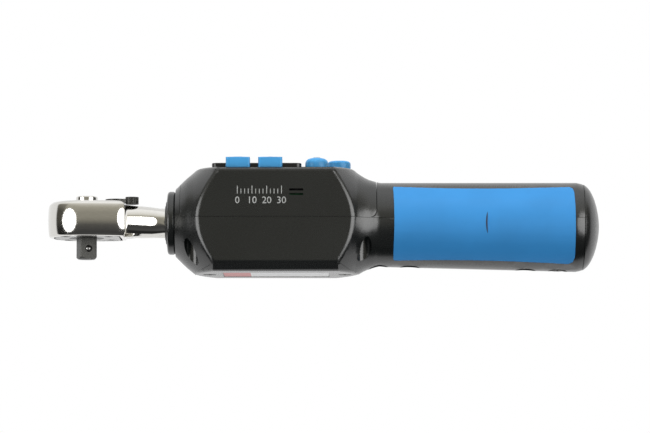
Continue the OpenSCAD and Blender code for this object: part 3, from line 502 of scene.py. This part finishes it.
def round_neck(bm):
    """Cuts the neck's flats finely and draws them onto a rounded section."""

    def neck_parts():
        faces = [f for f in bm.faces if all(14.4 < v.co.x / MM < 29.2 for v in f.verts)]
        edges = {e for f in faces for e in f.edges}
        return list({v for e in edges for v in e.verts}) + list(edges) + faces

    for i in range(16):
        angle = math.radians(11.25 * i)
        bmesh.ops.bisect_plane(bm, geom=neck_parts(), plane_co=(0, 0, NECK_MIDDLE * MM),
                               plane_no=(0, math.cos(angle), math.sin(angle)))
    for i in range(13):
        bmesh.ops.bisect_plane(bm, geom=neck_parts(), plane_co=((15.5 + i) * MM, 0, 0),
                               plane_no=(1, 0, 0))
    for v in bm.verts:
        x, y, z = v.co / MM
        if not 14.55 < x < 28.95:
            continue
        wide, low, high = neck_size(x)
        centre, tall = (low + high) / 2, (high - low) / 2
        u, w = y / wide, (z - centre) / tall
        reach = (abs(u) ** NECK_POWER + abs(w) ** NECK_POWER) ** (1 / NECK_POWER)
        if 0.9 < reach < 1.25:
            v.co.y = y / reach * MM
            v.co.z = (centre + (z - centre) / reach) * MM


def refined_copy(node, material, body, round_width):
    """A copy of a CAD node with welded faces, rounded edges and smooth shading, which stands for it."""
    width, angle = REFINED[node]
    bm = bmesh.new()
    bm.from_mesh(frame["nodes"][node].data)
    bmesh.ops.remove_doubles(bm, verts=bm.verts, dist=WELD)
    bmesh.ops.dissolve_limit(bm, angle_limit=math.radians(0.4), verts=bm.verts, edges=bm.edges)
    if node == "ratchet_head":
        crown_head(bm)
        round_neck(bm)
    if node in ("lower_housing", "display_cover", "bottom_plate"):
        round_ridges(bm, round_width)
    edges = [e for e in bm.edges if len(e.link_faces) == 2]
    edges = [e for e in edges if e.calc_face_angle(0) > math.radians(angle)]
    if edges:
        bmesh.ops.bevel(bm, geom=edges, offset=width * MM, offset_type="OFFSET", segments=2,
                        profile=0.6, affect="EDGES", clamp_overlap=True)
    mark_sharp(bm, angle + 12)
    mesh = bpy.data.meshes.new(node + "_skin")
    bm.to_mesh(mesh)
    bm.free()
    obj = add_object(node + "_skin", mesh, material, body)
    if node == "ratchet_head":
        forged_normals(mesh)
    else:
        even = obj.modifiers.new("even_shading", "WEIGHTED_NORMAL")
        even.keep_sharp = True
    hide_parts(node)
    return obj


# ---------------------------------------------------------------- settings


class WrenchLook(bpy.types.PropertyGroup):
    """Settings of the wrench's own pieces."""

    case_colour: bpy.props.FloatVectorProperty(
        name="Case colour", description="Colour of the black shells", subtype="COLOR", size=3,
        default=srgb(17, 20, 20)[:3], min=0.0, max=1.0)
    grip_colour: bpy.props.FloatVectorProperty(
        name="Grip colour", description="Colour of the soft pads on the grip", subtype="COLOR", size=3,
        default=srgb(52, 138, 206)[:3], min=0.0, max=1.0)
    key_colour: bpy.props.FloatVectorProperty(
        name="Key colour", description="Colour of the four keys", subtype="COLOR", size=3,
        default=srgb(66, 155, 216)[:3], min=0.0, max=1.0)
    band_colour: bpy.props.FloatVectorProperty(
        name="Band colour", description="Colour of the band on the bottom label", subtype="COLOR", size=3,
        default=srgb(196, 40, 42)[:3], min=0.0, max=1.0)
    ridge_width: bpy.props.FloatProperty(
        name="Ridge width", description="Width of the rounding on each side of the case's ridges",
        default=0.0011, min=0.0002, max=0.0015, unit="LENGTH")
    display_value: bpy.props.IntProperty(
        name="Display value", description="Number that the display shows, in hundredths",
        default=0, min=0, max=999)


class WrenchStage(bpy.types.PropertyGroup):
    """Settings of the camera, the floor and the lamps."""

    lens: bpy.props.FloatProperty(
        name="Lens", description="Focal length of the camera, mm", default=200.0, min=50.0, max=400.0)
    distance: bpy.props.FloatProperty(
        name="Camera distance", description="Distance from the camera to the wrench",
        default=1.345, min=0.5, max=3.0, unit="LENGTH")
    elevation: bpy.props.FloatProperty(
        name="Camera elevation", description="Angle of the camera above the wrench",
        default=math.radians(-5.4), min=-1.5, max=1.5, subtype="ANGLE")
    key_power: bpy.props.FloatProperty(
        name="Key power", description="Power of the overhead softbox, W",
        default=2.35, min=0.0, max=100.0)
    side_power: bpy.props.FloatProperty(
        name="Side power", description="Power of the left softbox, W. The right one has 1.8 times as much",
        default=1.5, min=0.0, max=100.0)
    fill_power: bpy.props.FloatProperty(
        name="Fill power", description="Power of the low fill in front, W",
        default=2.6, min=0.0, max=100.0)
    surround: bpy.props.FloatProperty(
        name="Surround", description="Brightness of the surround as the wrench sees it",
        default=1.0, min=0.0, max=4.0)


# ---------------------------------------------------------------- operators


def node_body(node):
    """The body that a CAD node belongs to."""
    for body, members in frame["record"]["behaviour"]["bodies"].items():
        if node in members:
            return body
    raise KeyError(node)


def node_slot(node):
    """The material slot that the record gives a CAD node."""
    for entry in frame["record"]["subparts"]:
        if entry["node"] == node:
            return entry["material_slot"]
    raise KeyError(node)


# every material by name, made by the first operator that runs
MATERIALS = {}


def text_mesh(text, size, depth):
    """The letters of a short text as a flat mesh, centred on the origin and facing +Z."""
    curve = bpy.data.curves.new("text", "FONT")
    curve.body, curve.size, curve.extrude = text, size, depth / 2
    curve.align_x, curve.align_y = "CENTER", "CENTER"
    curve.resolution_u = 3
    holder = bpy.data.objects.new("text", curve)
    bpy.context.scene.collection.objects.link(holder)
    graph = bpy.context.evaluated_depsgraph_get()
    mesh = bpy.data.meshes.new_from_object(holder.evaluated_get(graph))
    bpy.data.objects.remove(holder)
    bpy.data.curves.remove(curve)
    return mesh


def add_block(bm, low, high, place=None):
    """Adds a block between two corners to a mesh that is being built."""
    made = bmesh.ops.create_cube(bm, size=1.0)["verts"]
    size = [h - l for l, h in zip(low, high)]
    centre = [(h + l) / 2 for l, h in zip(low, high)]
    fit = Matrix.LocRotScale(centre, None, size)
    bmesh.ops.transform(bm, verts=made, matrix=(place or Matrix()) @ fit)


def add_text(bm, text, size, depth, place):
    """Adds a short text to a mesh that is being built."""
    mesh = text_mesh(text, size, depth)
    mesh.transform(place)
    bm.from_mesh(mesh)
    bpy.data.meshes.remove(mesh)


def finish_piece(bm, name, material, body):
    """Makes a piece of a built mesh."""
    mesh = bpy.data.meshes.new(name)
    bm.to_mesh(mesh)
    bm.free()
    return add_object(name, mesh, material, body)


def add_ring(bm, radius, width, depth, place, start=0.0, end=360.0, steps=40):
    """Adds a flat ring, or a part of one, to a mesh that is being built."""
    rows = []
    for i in range(steps + 1):
        a = math.radians(start + (end - start) * i / steps)
        row = []
        for r, z in ((radius, 0), (radius, depth), (radius - width, depth), (radius - width, 0)):
            row.append(bm.verts.new(place @ Vector((r * math.cos(a), r * math.sin(a), z))))
        rows.append(row)
    for low, high in zip(rows, rows[1:]):
        for k in range(4):
            bm.faces.new((low[k], high[k], high[(k + 1) % 4], low[(k + 1) % 4]))
    for row in (rows[0], rows[-1]):
        bm.faces.new(row)


# the lit segments of each digit, a at the top and on clockwise to f, with g in the middle
SEGMENTS = {"0": "abcdef", "1": "bc", "2": "abged", "3": "abgcd", "4": "fgbc",
            "5": "afgcd", "6": "afgedc", "7": "abc", "8": "abcdefg", "9": "abcdfg"}


def add_digit(bm, digit, height, depth, place):
    """Adds one seven-segment digit, its lower left corner on the place's origin."""
    half, w = height / 2, height * 0.1
    width = height * 0.5
    spots = {"a": (0, height, 1), "b": (width, half, 0), "c": (width, 0, 0), "d": (0, 0, 1),
             "e": (0, 0, 0), "f": (0, half, 0), "g": (0, half, 1)}
    for name in SEGMENTS[digit]:
        x, y, lying = spots[name]
        long = width if lying else half
        gap = w * 0.6
        line = [(gap, 0), (gap + w / 2, w / 2), (long - gap - w / 2, w / 2), (long - gap, 0),
                (long - gap - w / 2, -w / 2), (gap + w / 2, -w / 2)]
        points = [(x + u, y + v) if lying else (x + v, y + u) for u, v in line]
        low = [bm.verts.new(place @ Vector((u + 0.12 * v, v, 0))) for u, v in points]
        high = [bm.verts.new(place @ Vector((u + 0.12 * v, v, depth))) for u, v in points]
        bm.faces.new(high)
        for k in range(6):
            bm.faces.new((low[k], low[(k + 1) % 6], high[(k + 1) % 6], high[k]))


class DressStep:
    """Gives a group of CAD nodes their materials, and refines those that show."""

    nodes = ()

    def execute(self, context):
        look = context.scene.wrench_look
        if not MATERIALS:
            MATERIALS.update(make_materials(look))
        for node in self.nodes:
            slot = node_slot(node)
            if node in REFINED:
                refined_copy(node, MATERIALS[slot], node_body(node), look.ridge_width)
            else:
                frame["nodes"][node].material_slots[0].material = MATERIALS[slot]
        return {"FINISHED"}


class WRENCH_OT_head(DressStep, bpy.types.Operator):
    """Dresses the ratchet head with its cover plate, lever, button and the button's spring"""

    bl_idname = "wrench.head"
    bl_label = "Dress the head"
    nodes = ("ratchet_head", "head_cover_plate", "drive_gear", "release_button", "reverse_lever",
             "cover_screws", "neck_boot", "front_collar")

    def execute(self, context):
        result = super().execute(context)
        mesh = frame["nodes"]["release_spring"].data.copy()
        spring = add_object("release_spring_skin", mesh, MATERIALS["zinc_steel"], "drive")
        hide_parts("release_spring")
        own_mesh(spring)
        return result


class WRENCH_OT_case(DressStep, bpy.types.Operator):
    """Dresses the case's shells, bottom plate, label and screws"""

    bl_idname = "wrench.case"
    bl_label = "Dress the case"
    nodes = ("lower_housing", "display_cover", "bottom_plate", "bottom_label", "housing_screws",
             "bottom_plate_screws")


class WRENCH_OT_display(DressStep, bpy.types.Operator):
    """Dresses the display's bezel and the four keys"""

    bl_idname = "wrench.display"
    bl_label = "Dress the display and keys"
    nodes = ("display_bezel", "mode_key", "unit_key", "power_key", "light_key")


class WRENCH_OT_grip(DressStep, bpy.types.Operator):
    """Dresses the grip's shells, pads and end cap"""

    bl_idname = "wrench.grip"
    bl_label = "Dress the grip"
    nodes = ("grip_top_shell", "left_grip_pad", "right_grip_pad", "end_cap", "grip_screws")


class WRENCH_OT_inside(DressStep, bpy.types.Operator):
    """Dresses the nodes inside the wrench"""

    bl_idname = "wrench.inside"
    bl_label = "Dress the inside"

    @property
    def nodes(self):
        return [node for node in frame["nodes"] if node not in REFINED]


class WRENCH_OT_marks(bpy.types.Operator):
    """Adds the printed scale, the painted shade lines in the pads' notches, the display's digits and the
    keys' symbols
    """

    bl_idname = "wrench.marks"
    bl_label = "Add the marks"

    def execute(self, context):
        self.scale()
        for side, name in ((-1, "right"), (1, "left")):
            self.painted_groove_shade(side, name)
        self.digits(context.scene.wrench_look.display_value)
        self.symbols()
        return {"FINISHED"}

    def scale(self):
        """A plain scale of ticks and numbers on the side of the case."""
        bm = bmesh.new()
        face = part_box("display_cover")[0][1] - 0.01 * MM
        upright = Matrix.Translation((0, face, AXIS_Z * MM)) @ Matrix.Rotation(math.radians(90), 4, "X")
        left, pitch, base, half = 56.5 * MM, 1.35 * MM, 9.1 * MM, 0.13 * MM
        for i in range(13):
            x = left + i * pitch
            top = base + (2.9 if i % 4 == 0 else 1.8) * MM
            add_block(bm, (x - half, base, 0), (x + half, top, PRINT_HEIGHT), upright)
        for i in range(4):
            spot = Matrix.Translation((left + 4 * i * pitch, 6.6 * MM, PRINT_HEIGHT / 2))
            add_text(bm, str(10 * i), 3.6 * MM, PRINT_HEIGHT, upright @ spot)
        finish_piece(bm, "scale_marks", MATERIALS["white_ink"], "housing")

    def painted_groove_shade(self, side, name):
        """A dark line of painted shade in the pad's notch, where the groove's shade falls."""
        bm = bmesh.new()
        pad = frame["nodes"][name + "_grip_pad"].data
        surface = BVHTree.FromPolygons([v.co for v in pad.vertices], [p.vertices[:] for p in pad.polygons])
        # painted shade: the line follows the pad's surface along its notch, just above it
        inward = Vector((0, -side, 0))
        rows = []
        for i in range(17):
            t = i / 16
            across = 2 * t - 1
            half = 0.3 * MM * (1 - across ** 4)
            x = (148.55 - 0.35 * (1 - across ** 2)) * MM
            z = (AXIS_Z - 5.2 + 8.1 * t) * MM
            row = []
            for k in (-1, 0, 1):
                start = Vector((x + k * half, side * 50 * MM, z))
                place, normal, _, _ = surface.ray_cast(start, inward)
                if place is None:
                    raise RuntimeError("the force mark misses the pad")
                row.append(bm.verts.new(place + normal * INK_AND_SHADE_HEIGHT))
            rows.append(row)
        for a, b in zip(rows, rows[1:]):
            for k in (0, 1):
                face = (a[k], a[k + 1], b[k + 1], b[k])
                bm.faces.new(face if side < 0 else (face[0], face[3], face[2], face[1]))
        finish_piece(bm, "painted_groove_shade_" + name, MATERIALS["groove_shade_paint"], "housing")

    def digits(self, value):
        """Three digits with a point, the unit and a row of battery bars on the display."""
        bm = bmesh.new()
        low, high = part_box("lcd_module")
        left, front, back, top = low[0], low[1], high[1], high[2] + 0.005 * MM
        for i, digit in enumerate("%03d" % value):
            place = Matrix.Translation((left + (3.6 + 5.6 * i) * MM, front + 5.2 * MM, top))
            add_digit(bm, digit, 7.5 * MM, INK_AND_SHADE_HEIGHT, place)
        dot = (left + 8.5 * MM, front + 4.8 * MM, top)
        add_block(bm, dot, (dot[0] + 0.8 * MM, dot[1] + 0.8 * MM, top + INK_AND_SHADE_HEIGHT))
        place = Matrix.Translation((left + 20.2 * MM, front + 3.2 * MM, top))
        add_text(bm, "N·m", 2.6 * MM, INK_AND_SHADE_HEIGHT, place)
        for i in range(4):
            x = left + (4 + 1.5 * i) * MM
            end = (x + 1.1 * MM, back - 2.2 * MM, top + INK_AND_SHADE_HEIGHT)
            add_block(bm, (x, back - 3.4 * MM, top), end)
        finish_piece(bm, "lcd_digits", MATERIALS["lcd_ink"], "housing")

    def symbols(self):
        """A plain raised symbol on each key."""
        for key in ("mode_key", "unit_key", "power_key", "light_key"):
            bm = bmesh.new()
            low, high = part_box(key)
            x, y = (low[0] + high[0]) / 2, (low[1] + high[1]) / 2
            spot = Matrix.Translation((x, y, high[2] - 0.03 * MM))
            if key == "mode_key":
                for i in (-1, 0, 1):
                    self.bar(bm, (-1.6, i * 0.7 - 0.15), (1.6, i * 0.7 + 0.15), spot)
            elif key == "unit_key":
                add_ring(bm, 0.9 * MM, 0.25 * MM, SYMBOL_HEIGHT, spot)
                self.bar(bm, (-2.4, -0.15), (-1.2, 0.15), spot)
                self.bar(bm, (1.2, -0.15), (2.4, 0.15), spot)
            elif key == "power_key":
                add_ring(bm, 1.3 * MM, 0.3 * MM, SYMBOL_HEIGHT, spot, 125, 415)
                self.bar(bm, (-0.15, 0.3), (0.15, 1.6), spot)
            else:
                add_ring(bm, 0.8 * MM, 0.25 * MM, SYMBOL_HEIGHT, spot)
                for i in range(8):
                    ray = spot @ Matrix.Rotation(math.radians(45 * i), 4, "Z")
                    self.bar(bm, (1.1, -0.12), (1.8, 0.12), ray)
            finish_piece(bm, key + "_symbol", MATERIALS["key_ink"], key)

    def bar(self, bm, low, high, place):
        """One straight stroke of a symbol between two corners, mm."""
        add_block(bm, (low[0] * MM, low[1] * MM, 0), (high[0] * MM, high[1] * MM, SYMBOL_HEIGHT), place)


class WRENCH_OT_stage(bpy.types.Operator):
    """Sets the camera, the floor, the surround and the lamps"""

    bl_idname = "wrench.stage"
    bl_label = "Set the stage"

    def execute(self, context):
        scene = context.scene
        s = scene.wrench_stage
        scene.view_settings.view_transform = "Standard"
        target = Vector(VIEW_CENTRE)
        cam = bpy.data.objects.new("camera", bpy.data.cameras.new("camera"))
        scene.collection.objects.link(cam)
        cam.data.lens = s.lens
        cam.data.sensor_width = 36.0
        cam.data.clip_start = 0.01
        e = s.elevation
        cam.location = target + s.distance * Vector((0, -math.cos(e), math.sin(e)))
        cam.rotation_euler = (target - cam.location).to_track_quat("-Z", "Y").to_euler()
        scene.camera = cam
        self.floor()
        self.surround(scene, s.surround)
        key = self.lamp("key_softbox", (0.09, -0.30, 0.55), LAMP_CENTRE, (0.6, 0.30), s.key_power)
        fill = self.lamp("low_fill", (0.09, -0.65, -0.28), LAMP_CENTRE, (0.6, 0.6), s.fill_power)
        left = self.lamp("left_softbox", (-0.36, -0.30, 0.005), (0.02, 0, 0.008), (0.38, 0.40),
                         s.side_power)
        right = self.lamp("right_softbox", (0.50, -0.42, 0.055), (0.03, 0, 0.01), (0.56, 0.50),
                          s.side_power * 1.8)
        for lamp in (key, fill):
            lamp.visible_glossy = False
        for lamp in (left, right):
            lamp.visible_diffuse = False
        return {"FINISHED"}

    def floor(self):
        """A pale floor that fades into the white round it, and is clear from below."""
        mesh = bpy.data.meshes.new("floor")
        r, z = 3, FLOOR_Z * MM
        mesh.from_pydata([(-r, -r, z), (r, -r, z), (r, r, z), (-r, r, z)], [], [(0, 1, 2, 3)])
        obj = bpy.data.objects.new("floor", mesh)
        bpy.context.scene.collection.objects.link(obj)
        mat, n, l, shader = new_material("floor")
        grain = n.new("ShaderNodeGroup")
        grain.node_tree = grain_group()
        grain.inputs["Scale"].default_value = 300.0
        grain.inputs["Depth"].default_value = 0.00005
        spread = range_node(n, 0.55, 0.7)
        l.new(grain.outputs["Grain"], spread.inputs["Value"])
        l.new(spread.outputs["Result"], shader.inputs["Roughness"])
        shader.inputs["Base Color"].default_value = (0.86, 0.86, 0.86, 1)
        shader.inputs["Specular IOR Level"].default_value = 0.0
        clear = n.new("ShaderNodeBsdfTransparent")
        back = n.new("ShaderNodeNewGeometry")
        coord = n.new("ShaderNodeTexCoord")
        away = n.new("ShaderNodeVectorMath")
        away.operation = "DISTANCE"
        away.inputs[1].default_value = (0.09, 0, 0)
        fade = range_node(n, 0.0, 1.0, 0.16, 0.4)  # from 0.16 to 0.4 m away from the wrench's middle
        fade.interpolation_type = "SMOOTHSTEP"
        hidden = n.new("ShaderNodeMath")
        hidden.operation = "MAXIMUM"
        mix = n.new("ShaderNodeMixShader")
        out = n["Material Output"]
        l.new(coord.outputs["Object"], away.inputs[0])
        l.new(away.outputs["Value"], fade.inputs["Value"])
        l.new(fade.outputs["Result"], hidden.inputs[0])
        l.new(back.outputs["Backfacing"], hidden.inputs[1])
        l.new(hidden.outputs["Value"], mix.inputs["Fac"])
        l.new(shader.outputs["BSDF"], mix.inputs[1])
        l.new(clear.outputs["BSDF"], mix.inputs[2])
        l.new(mix.outputs["Shader"], out.inputs["Surface"])
        mesh.materials.append(mat)
        for ray in ("diffuse", "glossy", "transmission", "volume_scatter", "shadow"):
            setattr(obj, "visible_" + ray, False)

    def surround(self, scene, strength):
        """White for the camera and through glass, and for the wrench a room that is dimmer in front."""
        world = bpy.data.worlds.new("surround")
        scene.world = world
        world.use_nodes = True
        n, l = world.node_tree.nodes, world.node_tree.links
        n.clear()
        out = n.new("ShaderNodeOutputWorld")
        mix = n.new("ShaderNodeMixShader")
        white = n.new("ShaderNodeBackground")
        white.inputs["Color"].default_value = (1, 1, 1, 1)
        white.inputs["Strength"].default_value = 1.0
        room = n.new("ShaderNodeBackground")
        room.inputs["Strength"].default_value = strength
        path = n.new("ShaderNodeLightPath")
        coord = n.new("ShaderNodeTexCoord")
        split = n.new("ShaderNodeSeparateXYZ")
        behind = range_node(n, 0.0, 1.0, *BEHIND)
        flank = range_node(n, 1.0, FLANK_LEVEL, *FLANK)
        above = range_node(n, FLANK_LEVEL, 1.0, *ABOVE)
        shade = n.new("ShaderNodeMath")
        shade.operation = "MAXIMUM"
        dim = n.new("ShaderNodeVectorMath")
        dim.operation = "SCALE"
        level = range_node(n, 0.0, 1.0, -1.0, 1.0)
        ramp = n.new("ShaderNodeValToRGB")
        stops = ramp.color_ramp.elements
        for z, value, tint in SURROUND_LEVELS:
            stop = stops.new((z + 1) / 2)
            stop.color = (value, value * (1 - 0.05 * tint), value * (1 - 0.2 * tint), 1)
        # the two stops that a new ramp has
        stops.remove(stops[0])
        stops.remove(stops[len(stops) - 1])
        blend = n.new("ShaderNodeMix")
        blend.data_type = "RGBA"
        blend.inputs["B"].default_value = (1, 1, 1, 1)
        l.new(coord.outputs["Generated"], split.inputs["Vector"])
        l.new(split.outputs["Y"], behind.inputs["Value"])
        l.new(split.outputs["Y"], flank.inputs["Value"])
        l.new(split.outputs["Z"], level.inputs["Value"])
        l.new(level.outputs["Result"], ramp.inputs["Fac"])
        l.new(behind.outputs["Result"], blend.inputs["Factor"])
        l.new(ramp.outputs["Color"], dim.inputs[0])
        l.new(flank.outputs["Result"], shade.inputs[0])
        l.new(split.outputs["Z"], above.inputs["Value"])
        l.new(above.outputs["Result"], shade.inputs[1])
        l.new(shade.outputs["Value"], dim.inputs["Scale"])
        l.new(dim.outputs["Vector"], blend.inputs["A"])
        l.new(blend.outputs["Result"], room.inputs["Color"])
        through = n.new("ShaderNodeMath")
        through.operation = "MAXIMUM"
        mirrored = n.new("ShaderNodeMath")
        mirrored.operation = "MULTIPLY"
        seen = n.new("ShaderNodeMath")
        seen.operation = "MAXIMUM"
        l.new(path.outputs["Is Camera Ray"], through.inputs[0])
        l.new(path.outputs["Is Transmission Ray"], through.inputs[1])
        l.new(path.outputs["Is Glossy Ray"], mirrored.inputs[0])
        l.new(behind.outputs["Result"], mirrored.inputs[1])
        l.new(through.outputs["Value"], seen.inputs[0])
        l.new(mirrored.outputs["Value"], seen.inputs[1])
        l.new(seen.outputs["Value"], mix.inputs["Fac"])
        l.new(room.outputs["Background"], mix.inputs[1])
        l.new(white.outputs["Background"], mix.inputs[2])
        l.new(mix.outputs["Shader"], out.inputs["Surface"])

    def lamp(self, name, place, aim, size, power):
        """An oval softbox that points at a place and isn't seen itself."""
        data = bpy.data.lights.new(name, "AREA")
        data.shape = "ELLIPSE"
        data.size, data.size_y = size
        data.energy = power
        obj = bpy.data.objects.new(name, data)
        bpy.context.scene.collection.objects.link(obj)
        obj.location = place
        obj.rotation_euler = (Vector(aim) - Vector(place)).to_track_quat("-Z", "Y").to_euler()
        obj.visible_camera = False
        return obj


class WRENCH_PT_sidebar(bpy.types.Panel):
    """Sidebar panel with the wrench's settings and steps"""

    bl_label = "Torque Wrench"
    bl_idname = "WRENCH_PT_sidebar"
    bl_space_type = "VIEW_3D"
    bl_region_type = "UI"
    bl_category = "Wrench"

    def draw(self, context):
        for settings in (context.scene.wrench_look, context.scene.wrench_stage):
            box = self.layout.box()
            for name in type(settings).__annotations__:
                box.prop(settings, name)
        for op in OPERATORS:
            self.layout.operator(op.bl_idname)


OPERATORS = (WRENCH_OT_head, WRENCH_OT_case, WRENCH_OT_display, WRENCH_OT_grip, WRENCH_OT_inside,
             WRENCH_OT_marks, WRENCH_OT_stage)
CLASSES = (WrenchLook, WrenchStage) + OPERATORS + (WRENCH_PT_sidebar,)


def register():
    for cls in CLASSES:
        bpy.utils.register_class(cls)
    bpy.types.Scene.wrench_look = bpy.props.PointerProperty(type=WrenchLook)
    bpy.types.Scene.wrench_stage = bpy.props.PointerProperty(type=WrenchStage)


def unregister():
    del bpy.types.Scene.wrench_stage
    del bpy.types.Scene.wrench_look
    for cls in reversed(CLASSES):
        bpy.utils.unregister_class(cls)


def main():
    """Dresses the loaded frame."""
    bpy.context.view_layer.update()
    register()
    for name in ("head", "case", "display", "grip", "inside", "marks", "stage"):
        getattr(bpy.ops.wrench, name)()


if __name__ == "__main__":
    main()
